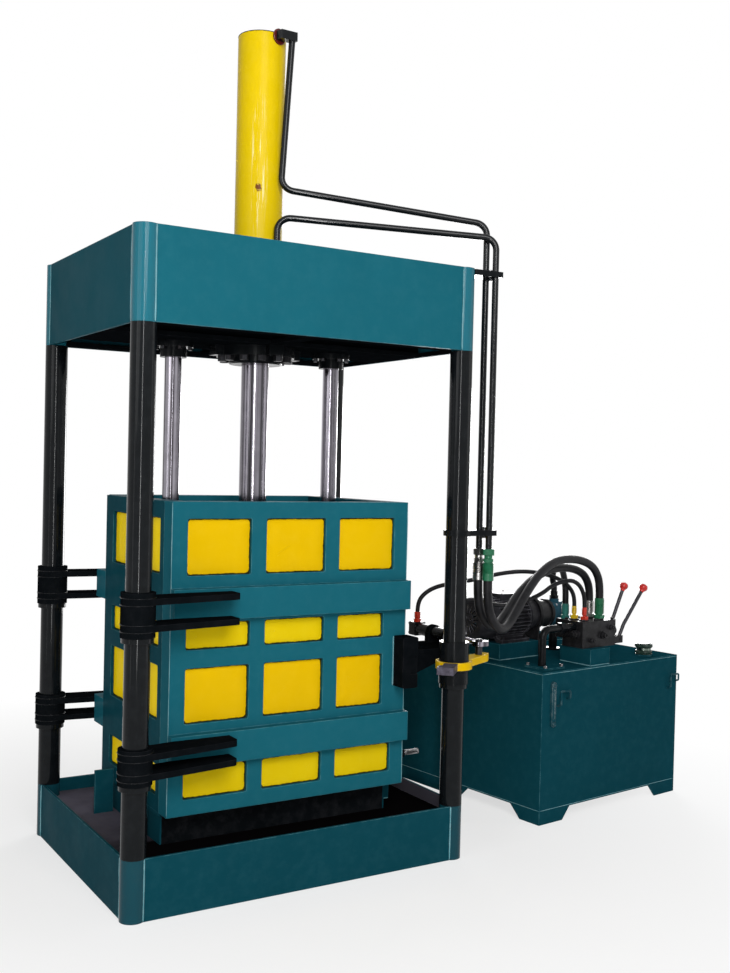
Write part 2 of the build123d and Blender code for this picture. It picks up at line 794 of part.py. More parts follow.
export_step(lock_shelf.part, "parts/lock_shelf.step")

with BuildPart() as latch_lever:
    with BuildSketch(front(latch_y - 9.7)):
        with Locations((latch_x + 20, latch_z)):
            Circle(11)
    extrude(amount=-19.4)
    with BuildSketch(side(latch_x + 28)):
        with Locations((latch_y, latch_z)):
            Circle(7)
    extrude(amount=86)
    with BuildSketch(front(latch_y - 9.7)):
        with Locations((latch_x + 20, latch_z)):
            Circle(4 + run)
    extrude(amount=-19.4, mode=Mode.SUBTRACT)
    fillet(latch_lever.faces().sort_by(Axis.X)[-1].edges(), radius=4)
latch_lever.part.label = "latch_lever"
export_step(latch_lever.part, "parts/latch_lever.step")

# Steel pipes
port_dir_a = (0.293, -0.956)
port_dir_b = (0.248, -0.969)
port_r = cyl_od / 2 + pipe_od / 2 + 8
a_x, a_y = 85, -134       # top of the upper pipe, beside its port
a_foot = (50, -124)      # where it bends towards the crown's corner
b_x, b_y = port_r * port_dir_b[0], port_r * port_dir_b[1]
a_port_z = cyl_top - 20
b_port_z = crown_top + 22


def port_plane(d, z):
    return Plane(origin=(0, 0, z), x_dir=(-d[1], d[0], 0), z_dir=(d[0], d[1], 0))


pipe_a_pts = [
    (a_x, a_y, a_port_z - 20),
    (*a_foot, 3035),
    (pipe_a_x, pipe_a_y, 2915),
    (pipe_a_x, pipe_a_y, pipe_end_z),
]
pipe_b_pts = [
    (b_x, b_y, b_port_z + 20),
    (b_x, b_y, 2905),
    (pipe_b_x, pipe_b_y, 2845),
    (pipe_b_x, pipe_b_y, pipe_end_z),
]
with BuildPart() as press_pipes:
    for points in (pipe_a_pts, pipe_b_pts):
        with BuildLine() as pipe_line:
            FilletPolyline(*points, radius=pipe_bend)
        pipe_path = pipe_line.wires()[0]
        with BuildSketch(Plane(origin=pipe_path @ 0, z_dir=pipe_path % 0)):
            Circle(pipe_od / 2)
        sweep(path=pipe_path)
    # port blocks on the cylinder
    for d, z in ((port_dir_a, a_port_z), (port_dir_b, b_port_z)):
        with BuildSketch(port_plane(d, z)):
            Rectangle(46, 40)
        extrude(amount=port_r + 22)
    # elbow from the upper port to its pipe
    with BuildSketch(level(a_port_z - 20)):
        with Locations((a_x - 22, a_y)):
            Rectangle(80, 40)
    extrude(amount=40)
    with BuildSketch(level(crown_top)):
        Circle(cyl_od / 2 + 0.05)
    extrude(amount=cyl_top - crown_top, mode=Mode.SUBTRACT)
press_pipes.part.label = "press_pipes"
export_step(press_pipes.part, "parts/press_pipes.step")

# Clamp blocks: one on the crown, one strapped to the column
clamp_zs = (crown_top - 14, 1487)
clamp_h = 26
with BuildPart() as pipe_clamps:
    for i, z in enumerate(clamp_zs):
        x0 = frame_w / 2 if i == 0 else col_x
        with BuildSketch(level(z - clamp_h / 2)):
            with BuildLine():
                Polyline(
                    (x0, pipe_b_y - 14),
                    (pipe_b_x - 20, pipe_b_y - 24),
                    (pipe_b_x + 26, pipe_b_y - 24),
                    (pipe_a_x + 26, pipe_a_y + 24),
                    (pipe_a_x - 24, pipe_a_y + 24),
                    (x0, pipe_a_y + 8),
                    close=True,
                )
            make_face()
            if i == 1:
                with Locations((col_x, -col_y)):
                    Circle(col_od / 2 + 12)
            with Locations((col_x, -col_y)):
                Circle(col_od / 2 + 0.05, mode=Mode.SUBTRACT)
            with Locations((pipe_a_x, pipe_a_y), (pipe_b_x, pipe_b_y)):
                Circle(pipe_od / 2 + 0.05, mode=Mode.SUBTRACT)
        extrude(amount=clamp_h)
pipe_clamps.part.label = "pipe_clamps"
export_step(pipe_clamps.part, "parts/pipe_clamps.step")

hose_start_z = 1265


# Power unit
with BuildPart() as tank:
    with BuildSketch(unit_level(0)):
        with Locations((tank_l / 2, tank_d / 2)):
            Rectangle(tank_l, tank_d)
            Rectangle(tank_l - 2 * tank_wall, tank_d - 2 * tank_wall, mode=Mode.SUBTRACT)
    extrude(amount=tank_h - 8)
    with BuildSketch(unit_level(foot_z - tank_wall)):
        with Locations((tank_l / 2, tank_d / 2)):
            Rectangle(tank_l - 2 * tank_wall, tank_d - 2 * tank_wall)
    extrude(amount=tank_wall)
    # the skirt is cut away between the feet
    with BuildSketch(unit_front(0)):
        with BuildLine():
            Polyline(
                (foot_l, 0), (foot_l + 55, notch_z), (tank_l - foot_l - 55, notch_z), (tank_l - foot_l, 0), close=True
            )
        make_face()
    extrude(amount=-tank_d, mode=Mode.SUBTRACT)
    with BuildSketch(unit_side(0)):
        with BuildLine():
            Polyline(
                (foot_d, 0), (foot_d + 68, notch_z), (tank_d - foot_d - 68, notch_z), (tank_d - foot_d, 0), close=True
            )
        make_face()
    extrude(amount=tank_l, mode=Mode.SUBTRACT)
tank.part.label = "tank"
export_step(tank.part, "parts/tank.step")

cap_u = 920
cap_v = 92
with BuildPart() as tank_lid:
    with BuildSketch(unit_level(tank_h - 8)):
        with Locations((tank_l / 2, tank_d / 2)):
            Rectangle(tank_l, tank_d)
    extrude(amount=8)
    # filler neck
    with BuildSketch(unit_level(tank_h)):
        with Locations((cap_u, cap_v)):
            Circle(44)
    extrude(amount=6)
    with BuildSketch(unit_level(tank_h + 6)):
        with Locations((cap_u, cap_v)):
            Circle(28)
    extrude(amount=22)
    # plate under the return pipe
    with BuildSketch(unit_level(tank_h)):
        with Locations((return_u + 19, return_v)):
            RectangleRounded(150, 150, 8)
    extrude(amount=8)
tank_lid.part.label = "tank_lid"
export_step(tank_lid.part, "parts/tank_lid.step")

with BuildPart() as breather_cap:
    with BuildSketch(unit_level(tank_h + 6 + slip)):
        with Locations((cap_u, cap_v)):
            Circle(46)
    extrude(amount=22)
    with BuildSketch(unit_level(tank_h + 28 + slip)):
        with Locations((cap_u, cap_v)):
            Circle(40)
    extrude(amount=14)
    with BuildSketch(unit_level(tank_h + 42 + slip)):
        with Locations((cap_u, cap_v)):
            Circle(47)
    extrude(amount=26)
    fillet(breather_cap.faces().sort_by(Axis.Z)[-1].edges(), radius=10)
    with BuildSketch(unit_level(tank_h + 6 + slip)):
        with Locations((cap_u, cap_v)):
            Circle(28.3)
    extrude(amount=22.3, mode=Mode.SUBTRACT)
breather_cap.part.label = "breather_cap"
export_step(breather_cap.part, "parts/breather_cap.step")

gauge_u = 77
gauge_z = tank_h - 164
with BuildPart() as level_gauge:
    with BuildSketch(unit_front(0)):
        with Locations((gauge_u, gauge_z)):
            SlotOverall(228, 30, rotation=90)
    extrude(amount=12)
    with BuildSketch(unit_front(-12)):
        with Locations((gauge_u, gauge_z)):
            SlotOverall(150, 16, rotation=90)
    extrude(amount=-4, mode=Mode.SUBTRACT)
    with BuildSketch(unit_front(-12)):
        with Locations((gauge_u, gauge_z - 98), (gauge_u, gauge_z + 98)):
            RegularPolygon(9, 6, major_radius=False)
    extrude(amount=8)
level_gauge.part.label = "level_gauge"
export_step(level_gauge.part, "parts/level_gauge.step")

hook_d = 10
hook_z = tank_h - 99     # top bar of the hooks
with BuildPart() as tank_hooks:
    for u in (150, 1052):
        with BuildLine() as hook_line:
            FilletPolyline(
                unit_at(u - 34, 0, hook_z - 78),
                unit_at(u - 34, -24, hook_z - 68),
                unit_at(u - 34, -24, hook_z),
                unit_at(u + 34, -24, hook_z - 4),
                unit_at(u + 34, -24, hook_z - 38),
                unit_at(u + 34, 0, hook_z - 46),
                radius=8,
            )
        start = hook_line.wires()[0]
        with BuildSketch(Plane(origin=start @ 0, z_dir=start % 0)):
            Circle(hook_d / 2)
        sweep(path=start)
    with BuildSketch(unit_front(0)):
        with Locations((tank_l / 2, 400)):
            Rectangle(2 * tank_l, 1500)
    extrude(amount=-40, mode=Mode.SUBTRACT)
tank_hooks.part.label = "tank_hooks"
export_step(tank_hooks.part, "parts/tank_hooks.step")

valve_top = valve_z + valve_h
rear_ports_u = (440, 500)
rear_port_v = 250
rear_block_z = valve_z + 132
with BuildPart() as valve_block:
    with BuildSketch(unit_level(valve_z)):
        with Locations((valve_u + valve_l / 2, valve_v + valve_d / 2)):
            Rectangle(valve_l, valve_d)
    extrude(amount=valve_h)
    chamfer(valve_block.edges().filter_by(Axis.Z), length=6)
    # port bosses
    with BuildSketch(unit_level(valve_top)):
        with Locations(*[(u, v) for u in port_u for v in port_v]):
            Circle(26)
    extrude(amount=6)
    # spool housings at both ends and the plugs on the front
    with BuildSketch(unit_side(valve_u + valve_l)):
        with Locations(*[(v, lever_z + 52) for v in port_v]):
            Circle(22)
    extrude(amount=34)
    with BuildSketch(unit_side(valve_u)):
        with Locations(*[(v, lever_z + 52) for v in port_v]):
            Circle(20)
    extrude(amount=-30)
    with BuildSketch(unit_front(valve_v)):
        with Locations((valve_u + 150, valve_z + 62)):
            Circle(20)
        with Locations((valve_u + 215, valve_z + 100)):
            Circle(15)
        with Locations((valve_u + 60, valve_z + 40)):
            Circle(12)
    extrude(amount=16)
    # manifold on the rear face with two ports on top
    with BuildSketch(unit_level(rear_block_z - 100)):
        with Locations(((rear_ports_u[0] + rear_ports_u[1]) / 2, valve_v + valve_d + 39)):
            Rectangle(128, 82)
    extrude(amount=100)
    # ears that carry the levers' pivots
    with BuildSketch(unit_side(valve_u + valve_l)):
        for v in port_v:
            for s in (-1, 1):
                with Locations((v + s * 15, lever_z + 2)):
                    Rectangle(8, 40)
    extrude(amount=lever_u - valve_u - valve_l + 16)
    with BuildSketch(unit_front(min(port_v) - 19)):
        with Locations((lever_u, lever_z)):
            Circle(6)
    extrude(amount=-(max(port_v) - min(port_v) + 38))
valve_block.part.label = "valve_block"
export_step(valve_block.part, "parts/valve_block.step")


# two bent levers with round knobs: the rear one stands steeper
levers = (
    ("a", port_v[0], (lever_u + 43, lever_z + 78), (lever_u + 188, lever_z + 247)),
    ("b", port_v[1], (lever_u + 25, lever_z + 78), (lever_u + 112, lever_z + 250)),
)
knob_profile = ((0, 0), (11, 0), (13, 10), (22, 22), (24, 32), (20, 43), (10, 49), (0, 50))
for name, v, knee, tip in levers:
    with BuildPart() as lever:
        with BuildSketch(unit_front(v - 10.7)):
            with Locations((lever_u, lever_z)):
                Circle(15)
        extrude(amount=-21.4)
        with BuildLine() as bar:
            FilletPolyline(
                unit_at(lever_u, v, lever_z),
                unit_at(knee[0], v, knee[1]),
                unit_at(tip[0], v, tip[1]),
                radius=60,
            )
        bar_path = bar.wires()[0]
        with BuildSketch(Plane(origin=bar_path @ 0, z_dir=bar_path % 0)):
            Circle(lever_od / 2)
        sweep(path=bar_path)
        with BuildSketch(unit_front(v - 10.7)):
            with Locations((lever_u, lever_z)):
                Circle(6 + run)
        extrude(amount=-21.4, mode=Mode.SUBTRACT)
    lever.part.label = f"lever_{name}"
    export_step(lever.part, f"parts/lever_{name}.step")

    tip_at = unit_at(tip[0], v, tip[1])
    out = (tip_at - unit_at(knee[0], v, knee[1])).normalized()
    with BuildPart() as knob:
        with BuildSketch(Plane(origin=tip_at, x_dir=unit.y_dir, z_dir=unit.y_dir.cross(out))):
            with BuildLine():
                Polyline(*knob_profile, close=True)
            make_face()
        revolve(axis=Axis(tip_at, out))
    knob.part.label = f"knob_{name}"
    export_step(knob.part, f"parts/knob_{name}.step")

# hose fittings, grouped by colour: a hexagon, a neck and the hose's crimped ferrule
fitting_sets = (
    ("fittings_red", port_u[0], port_v[0], valve_top + 6, valve_top + 72, thin_od),
    ("fitting_yellow", port_u[0], port_v[1], valve_top + 6, valve_top + 72, thin_od),
    ("fittings_green", port_u[1], port_v[0], valve_top + 6, valve_top + 115, hose_od),
    ("fittings_silver", port_u[1], port_v[1], valve_top + 6, valve_top + 95, hose_od),
    ("fitting_pump", rear_ports_u[0], rear_port_v, rear_block_z, rear_block_z + 81, pump_hose_od),
)
pipe_ends = {"fittings_silver": (pipe_a_x, pipe_a_y), "fittings_green": (pipe_b_x, pipe_b_y)}
lock_top = lock_cyl_z + lock_cyl_od / 2 + 4
for name, u, v, z0, z1, od in fitting_sets:
    with BuildPart() as fitting:
        with BuildSketch(unit_level(z0)):
            with Locations((u, v)):
                RegularPolygon(max(od / 2 + 3, 17), 6, major_radius=False)
        extrude(amount=24)
        with BuildSketch(unit_level(z0 + 24)):
            with Locations((u, v)):
                Circle(od / 2)
        extrude(amount=10)
        with BuildSketch(unit_level(z0 + 34)):
            with Locations((u, v)):
                Circle(od / 2 + 3)
        extrude(amount=z1 - z0 - 34)
        if name in pipe_ends:
            # the same on a steel pipe's lower end, from the top down
            with BuildSketch(level(pipe_end_z - 34)):
                with Locations(pipe_ends[name]):
                    RegularPolygon(pipe_od / 2 + 8, 6, major_radius=False)
            extrude(amount=34)
            with BuildSketch(level(pipe_end_z - 62)):
                with Locations(pipe_ends[name]):
                    Circle(hose_od / 2 - 6)
            extrude(amount=28)
            with BuildSketch(level(hose_start_z)):
                with Locations(pipe_ends[name]):
                    Circle(hose_od / 2 + 3)
            extrude(amount=pipe_end_z - 62 - hose_start_z)
        if name == "fittings_red":
            # and on both ports of the lock cylinder
            for y in (front_port_y, rear_port_y):
                with BuildSketch(level(lock_top)):
                    with Locations((lock_cyl_x, y)):
                        RegularPolygon(16, 6, major_radius=False)
                extrude(amount=18)
                with BuildSketch(level(lock_top + 18)):
                    with Locations((lock_cyl_x, y)):
                        Circle(thin_od / 2 + 3)
                extrude(amount=lock_hose_z - lock_top - 18)
    fitting.part.label = name
    export_step(fitting.part, f"parts/{name}.step")

# Motor and pump
support_top = motor_z - 128
# open steel stands under the valve and under the motor
with BuildPart() as unit_stands:
    for u, v, w, d, top in (
        (ped_u + ped_w / 2, ped_v + ped_d / 2, ped_w, ped_d, valve_z),
        (fin_u0 + 130, motor_v, 300, 230, support_top),
    ):
        with BuildSketch(unit_level(tank_h)):
            with Locations((u, v)):
                Rectangle(w, d)
                Rectangle(w - 16, d - 16, mode=Mode.SUBTRACT)
        extrude(amount=top - tank_h - 10)
        with BuildSketch(unit_level(top - 10)):
            with Locations((u, v)):
                Rectangle(w, d)
        extrude(amount=10)
unit_stands.part.label = "unit_stands"
export_step(unit_stands.part, "parts/unit_stands.step")

core_r = 88
fin_n = 32
shaft_r = 14
with BuildPart() as motor_body:
    with BuildSketch(unit_side(fin_u0)):
        with Locations((motor_v, motor_z)):
            Circle(core_r)
            with PolarLocations(0, fin_n):
                with Locations((motor_d / 4 + core_r / 2 - 2, 0)):
                    Rectangle(motor_d / 2 - core_r + 4, 4)
    extrude(amount=fin_u1 - fin_u0)
    for u in (fin_u0, fin_u1):
        with BuildSketch(unit_side(u)):
            with Locations((motor_v, motor_z)):
                Circle(motor_d / 2 - 6)
        extrude(amount=-16 if u == fin_u0 else 18)
    # front end shield tapers to the pump's flange
    with BuildSketch(unit_side(fin_u1 + 18)):
        with Locations((motor_v, motor_z)):
            Circle(motor_d / 2 - 8)
    extrude(amount=70, taper=14)
    # feet
    with BuildSketch(unit_side(fin_u0 + 10)):
        with BuildLine():
            Polyline(
                (motor_v - 105, support_top),
                (motor_v - 105, support_top + 16),
                (motor_v - 66, support_top + 24),
                (motor_v - 56, motor_z - 60),
                (motor_v + 56, motor_z - 60),
                (motor_v + 66, support_top + 24),
                (motor_v + 105, support_top + 16),
                (motor_v + 105, support_top),
                (motor_v + 62, support_top),
                (motor_v + 40, support_top + 22),
                (motor_v - 40, support_top + 22),
                (motor_v - 62, support_top),
                close=True,
            )
        make_face()
    extrude(amount=fin_u1 - fin_u0 - 20)
    # terminal box on top
    with BuildSketch(unit_level(motor_z + core_r - 10)):
        with Locations((fin_u0 + 110, motor_v)):
            RectangleRounded(130, 120, 8)
    extrude(amount=52)
    # shaft end that carries the fan
    with BuildSketch(unit_side(fin_u0 - 16)):
        with Locations((motor_v, motor_z)):
            Circle(shaft_r)
    extrude(amount=-62)
motor_body.part.label = "motor_body"
export_step(motor_body.part, "parts/motor_body.step")

cowl_u0 = -46
with BuildPart() as fan_cowl:
    with BuildSketch(unit_side(cowl_u0)):
        with Locations((motor_v, motor_z)):
            Circle(motor_d / 2)
    extrude(amount=fin_u0 - cowl_u0 - 3)
    fillet(fan_cowl.faces().sort_by(Axis(unit.origin, unit.x_dir))[0].edges(), radius=18)
    offset(amount=-4, openings=fan_cowl.faces().sort_by(Axis(unit.origin, unit.x_dir))[-1])
    # air slots in the end
    with BuildSketch(unit_side(cowl_u0 - 1)):
        with Locations((motor_v, motor_z)):
            with PolarLocations(56, 16):
                SlotOverall(44, 9)
            with PolarLocations(18, 6):
                SlotOverall(18, 7)
    extrude(amount=8, mode=Mode.SUBTRACT)
    # land that seats on the end shield
    with BuildSketch(unit_side(fin_u0 - 16)):
        with Locations((motor_v, motor_z)):
            Circle(motor_d / 2 - 3.9)
            Circle(motor_d / 2 - 6 + 0.05, mode=Mode.SUBTRACT)
    extrude(amount=13)
fan_cowl.part.label = "fan_cowl"
export_step(fan_cowl.part, "parts/fan_cowl.step")

with BuildPart() as motor_fan:
    with BuildSketch(unit_side(fin_u0 - 70)):
        with Locations((motor_v, motor_z)):
            Circle(26)
            with PolarLocations(0, 8):
                with Locations((52, 0)):
                    Rectangle(80, 4)
    extrude(amount=36)
    with BuildSketch(unit_side(fin_u0 - 34)):
        with Locations((motor_v, motor_z)):
            Circle(92)
    extrude(amount=4)
    with BuildSketch(unit_side(fin_u0 - 80)):
        with Locations((motor_v, motor_z)):
            Circle(shaft_r + run)
    extrude(amount=60, mode=Mode.SUBTRACT)
motor_fan.part.label = "motor_fan"
export_step(motor_fan.part, "parts/motor_fan.step")

bell_u0 = fin_u1 + 88
bell_u1 = 556
pump_u1 = 700
pump_port_u = bell_u1 + 70
with BuildPart() as bell_housing:
    with BuildSketch(unit_side(bell_u0)):
        with Locations((motor_v, motor_z)):
            Circle(100)
    extrude(amount=20)
    with BuildSketch(unit_side(bell_u0 + 20)):
        with Locations((motor_v, motor_z)):
            Circle(84)
    extrude(amount=bell_u1 - bell_u0 - 38, taper=8)
    with BuildSketch(unit_side(bell_u1 - 18)):
        with Locations((motor_v, motor_z)):
            Circle(78)
    extrude(amount=18)
    # bracket down to the tank
    with BuildSketch(unit_side(bell_u0)):
        with Locations((motor_v, (tank_h + motor_z - 50) / 2)):
            Rectangle(150, motor_z - 50 - tank_h)
    extrude(amount=16)
bell_housing.part.label = "bell_housing"
export_step(bell_housing.part, "parts/bell_housing.step")

with BuildPart() as pump:
    with BuildSketch(unit_side(bell_u1)):
        with Locations((motor_v, motor_z)):
            RectangleRounded(128, 118, 20)
    extrude(amount=24)
    with BuildSketch(unit_side(bell_u1 + 24)):
        with Locations((motor_v, motor_z)):
            Circle(58)
    extrude(amount=pump_u1 - bell_u1 - 24)
    fillet(pump.faces().sort_by(Axis(unit.origin, unit.x_dir))[-1].edges(), radius=12)
    # outlet boss on top and inlet below
    with BuildSketch(unit_level(motor_z)):
        with Locations((pump_port_u, motor_v)):
            Circle(28)
    extrude(amount=76)
    with BuildSketch(unit_level(motor_z)):
        with Locations((pump_port_u, motor_v)):
            Circle(30)
    extrude(amount=-84)
pump.part.label = "pump"
export_step(pump.part, "parts/pump.step")

# return line from the valve, suction pipe and outlet fitting of the pump
with BuildPart() as oil_lines:
    with BuildLine() as return_line:
        FilletPolyline(
            unit_at(return_u, return_v, tank_h + 8),
            unit_at(return_u, return_v, return_z),
            unit_at(valve_u, return_v, return_z),
            radius=46,
        )
    return_path = return_line.wires()[0]
    with BuildSketch(Plane(origin=return_path @ 0, z_dir=return_path % 0)):
        Circle(return_od / 2)
    sweep(path=return_path)
    # union nut on the level run
    with BuildSketch(unit_side(250)):
        with Locations((return_v, return_z)):
            RegularPolygon(return_od / 2 + 7, 6, major_radius=False)
    extrude(amount=34)
    with BuildSketch(unit_level(tank_h)):
        with Locations((pump_port_u, motor_v)):
            Circle(40)
    extrude(amount=10)
    with BuildSketch(unit_level(tank_h + 10)):
        with Locations((pump_port_u, motor_v)):
            Circle(24)
    extrude(amount=motor_z - 84 - tank_h - 10)
    with BuildSketch(unit_level(motor_z + 76)):
        with Locations((pump_port_u, motor_v)):
            RegularPolygon(pump_hose_od / 2 + 5, 6, major_radius=False)
    extrude(amount=20)
    with BuildSketch(unit_level(motor_z + 96)):
        with Locations((pump_port_u, motor_v)):
            Circle(pump_hose_od / 2 + 3)
    extrude(amount=24)
oil_lines.part.label = "oil_lines"
export_step(oil_lines.part, "parts/oil_lines.step")

# Hoses
# Centre lines, points chosen by hand from fitting to fitting
green_at = unit_at(port_u[1], port_v[0], 0)
silver_at = unit_at(port_u[1], port_v[1], 0)
red_at = unit_at(port_u[0], port_v[0], 0)
yellow_at = unit_at(port_u[0], port_v[1], 0)
inlet_at = unit_at(rear_ports_u[0], rear_port_v, 0)
outlet_at = unit_at(pump_port_u, motor_v, 0)

hose_routes = (
    ("hose_green", hose_od, [
        (pipe_b_x, pipe_b_y, hose_start_z),
        (pipe_b_x, pipe_b_y, 1168),
        (960, -588, 1080),
        (1035, -561, 1024),
        (1129, -533, 1021),
        (1225, -502, 1062),
        (1347, -469, 1174),
        (1479, -420, 1264),
        (1632, -366, 1317),
        (1777, -323, 1308),
        (1866, -294, 1274),
        (1916, -278, 1227),
        (green_at.X, green_at.Y, valve_top + 177),
        (green_at.X, green_at.Y, valve_top + 115),
    ]),
    ("hose_silver", hose_od, [
        (pipe_a_x, pipe_a_y, hose_start_z),
        (pipe_a_x, pipe_a_y, 1170),
        (946, -535, 1084),
        (1021, -507, 1030),
        (1114, -478, 1027),
        (1211, -445, 1064),
        (1344, -395, 1148),
        (1488, -351, 1222),
        (1639, -304, 1262),
        (1778, -253, 1262),
        (1864, -224, 1234),
        (1910, -208, 1190),
        (silver_at.X, silver_at.Y, valve_top + 145),
        (silver_at.X, silver_at.Y, valve_top + 95),
    ]),
    ("hose_yellow", thin_od, [
        (lock_cyl_x, rear_port_y, lock_hose_z),
        (lock_cyl_x, rear_port_y, 1082),
        (999, 32, 1128),
        (1058, 14, 1166),
        (1147, -2, 1183),
        (1271, -50, 1204),
        (1421, -72, 1236),
        (1548, -134, 1250),
        (1683, -164, 1226),
        (1753, -196, 1192),
        (1795, -209, 1150),
        (yellow_at.X, yellow_at.Y, valve_top + 114),
        (yellow_at.X, yellow_at.Y, valve_top + 72),
    ]),
    ("hose_red", thin_od, [
        (lock_cyl_x, front_port_y, lock_hose_z),
        (lock_cyl_x, front_port_y, 1080),
        (994, -301, 1118),
        (1045, -300, 1140),
        (1121, -287, 1126),
        (1233, -296, 1098),
        (1365, -268, 1096),
        (1499, -300, 1140),
        (1604, -283, 1192),
        (1705, -297, 1214),
        (1769, -291, 1190),
        (1806, -286, 1148),
        (red_at.X, red_at.Y, valve_top + 114),
        (red_at.X, red_at.Y, valve_top + 72),
    ]),
    ("hose_pump", pump_hose_od, [
        (inlet_at.X, inlet_at.Y, rear_block_z + 81),
        (inlet_at.X, inlet_at.Y, rear_block_z + 144),
        (1830, -116, 1188),
        (1850, -76, 1234),
        (1879, -18, 1254),
        (1911, 44, 1248),
        (1939, 100, 1222),
        (1957, 131, 1168),
        (outlet_at.X, outlet_at.Y, motor_z + 150),
        (outlet_at.X, outlet_at.Y, motor_z + 120),
    ]),
)


def bends(points):
    # one radius for each corner, as large as its two runs allow
    legs = [Vector(*b) - Vector(*a) for a, b in zip(points, points[1:])]
    return [
        0.45 * min(p.length, q.length) / math.tan(math.radians(p.get_angle(q)) / 2)
        for p, q in zip(legs, legs[1:])
    ]


for name, od, points in hose_routes:
    radii = bends(points)
    with BuildPart() as hose:
        with BuildLine() as hose_line:
            FilletPolyline(*points, radius=radii)
        hose_path = hose_line.wires()[0]
        with BuildSketch(Plane(origin=hose_path @ 0, z_dir=hose_path % 0)):
            Circle(od / 2)
        sweep(path=hose_path)
    hose.part.label = name
    export_step(hose.part, f"parts/{name}.step")
    ideal = math.pi * od**2 / 4 * hose_path.length
    print(name, "radii", [round(r) for r in radii], "volume ratio", round(hose.part.volume / ideal, 4))
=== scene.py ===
"""Vertical hydraulic baler and its power unit: paint, rubber, chrome, welds, bolts and
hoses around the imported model, with the stage and the camera."""
import math

import bmesh
import bpy
import numpy as np
from mathutils import Matrix


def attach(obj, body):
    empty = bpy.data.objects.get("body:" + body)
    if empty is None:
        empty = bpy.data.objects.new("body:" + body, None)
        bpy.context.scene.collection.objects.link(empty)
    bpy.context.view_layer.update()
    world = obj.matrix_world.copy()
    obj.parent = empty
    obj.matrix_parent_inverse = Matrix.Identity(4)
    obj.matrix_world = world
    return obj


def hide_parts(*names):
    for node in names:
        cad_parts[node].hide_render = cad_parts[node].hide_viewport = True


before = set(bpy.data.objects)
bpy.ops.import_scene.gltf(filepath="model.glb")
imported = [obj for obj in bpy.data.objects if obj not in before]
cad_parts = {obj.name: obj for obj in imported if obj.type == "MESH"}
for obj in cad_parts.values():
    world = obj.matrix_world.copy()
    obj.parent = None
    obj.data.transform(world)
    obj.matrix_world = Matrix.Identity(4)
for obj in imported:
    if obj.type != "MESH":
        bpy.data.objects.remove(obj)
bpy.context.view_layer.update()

bl_info = {
    "name": "Hydraulic baler dresser",
    "version": (1, 0, 0),
    "blender": (4, 5, 0),
    "location": "View3D > Sidebar > Baler",
    "description": "Dresses the packed baler with its paint, hoses, bolts, welds and stage",
    "category": "Object",
}

FRAME, FRONT_DOOR, REAR_DOOR = "frame", "front_door_body", "rear_door_body"
MM = 0.001
UP = np.array([0.0, 0.0, 1.0])
SIDES = (-1, 1)

# The power unit's front left corner on the floor, and the ways along its front and to its rear.
UNIT_AT, UNIT_TURN = np.array([1.417, -0.433, 0.0]), math.radians(6.8)
ALONG = np.array([math.cos(UNIT_TURN), math.sin(UNIT_TURN), 0.0])
ACROSS = np.cross(UP, ALONG)

# Its sizes in millimetres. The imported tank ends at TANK_D, the real one at TANK_BACK.
TANK_L, TANK_D, TANK_BACK, TANK_TOP, SKIRT = 1100, 720, 1075, 767, 65
VALVE_TOP, MOTOR_V, MOTOR_Z = 990, 500, 980

# The press frame in metres: the columns' axes, the outer faces of base and crown, how far a
# corner's seam is from its column's axis, the press cylinder's radius, the lock cylinder's axis.
COLUMN_X, COLUMN_Y = 0.7575, 0.5775
SIDE_X, FRONT_Y, SEAM = 0.8005, 0.6205, 0.029
CYLINDER_R = 0.1085
LOCK_X, LOCK_Z = 0.97394, 0.955


# Settings
def colour_setting(name, description, default):
    """Colour that the user can change, in linear values."""
    return bpy.props.FloatVectorProperty(
        name=name, description=description, subtype="COLOR", size=3, default=default, min=0, max=1)


def length_setting(name, description, default, low, high):
    """Length that the user can change, in metres."""
    return bpy.props.FloatProperty(
        name=name, description=description, unit="LENGTH", default=default, min=low, max=high)


def angle_setting(name, description, degrees):
    """Angle that the user can change."""
    return bpy.props.FloatProperty(
        name=name, description=description, subtype="ANGLE", default=math.radians(degrees))


def amount_setting(name, description, default, low, high):
    """Plain number that the user can change."""
    return bpy.props.FloatProperty(name=name, description=description, default=default, min=low, max=high)


class PaintSettings(bpy.types.PropertyGroup):
    """Colours of the paints and finishes, as linear values."""

    teal: colour_setting("Teal", "Paint of the crown and the doors", (0.009, 0.100, 0.135))
    # A darker teal, used on the base, the side walls, the tank and its stands.
    teal_deep: colour_setting(
        "Deep teal", "Darker, older paint of the base, walls and tank", (0.004, 0.048, 0.066))
    # Pale teal: rubbed edges that are partly a painted highlight, and the painted highlight of the beads.
    teal_pale: colour_setting("Pale teal", "Rubbed edges and beads of the teal paint", (0.10, 0.27, 0.31))
    yellow: colour_setting("Yellow", "Paint of the door panels and the locks", (0.67, 0.415, 0.0012))
    # Greener yellow of the low rows and of those under the bands: painted shade.
    lime: colour_setting("Lime yellow", "Greener yellow of the low panel rows", (0.66, 0.475, 0.0025))
    # Lighter yellow of the side panels: painted light, so the shaded side shows as bright as the front.
    bright: colour_setting("Bright yellow", "Fresher yellow of the side panels", (0.95, 0.68, 0.002))
    # Dark olive round each field: painted shade along the recess.
    outline: colour_setting("Outline", "Dark olive round each yellow field", (0.022, 0.022, 0.004))
    black: colour_setting("Black", "Black of columns, arms and pipes", (0.0035, 0.0045, 0.0055))
    deck: colour_setting("Deck", "Worn primer of the deck", (0.062, 0.058, 0.075))
    red: colour_setting("Red", "Lever knobs", (0.55, 0.02, 0.015))
    motor: colour_setting("Motor grey", "Paint of the motor", (0.017, 0.017, 0.020))
    pump: colour_setting("Pump blue", "Paint of the pump", (0.02, 0.075, 0.11))


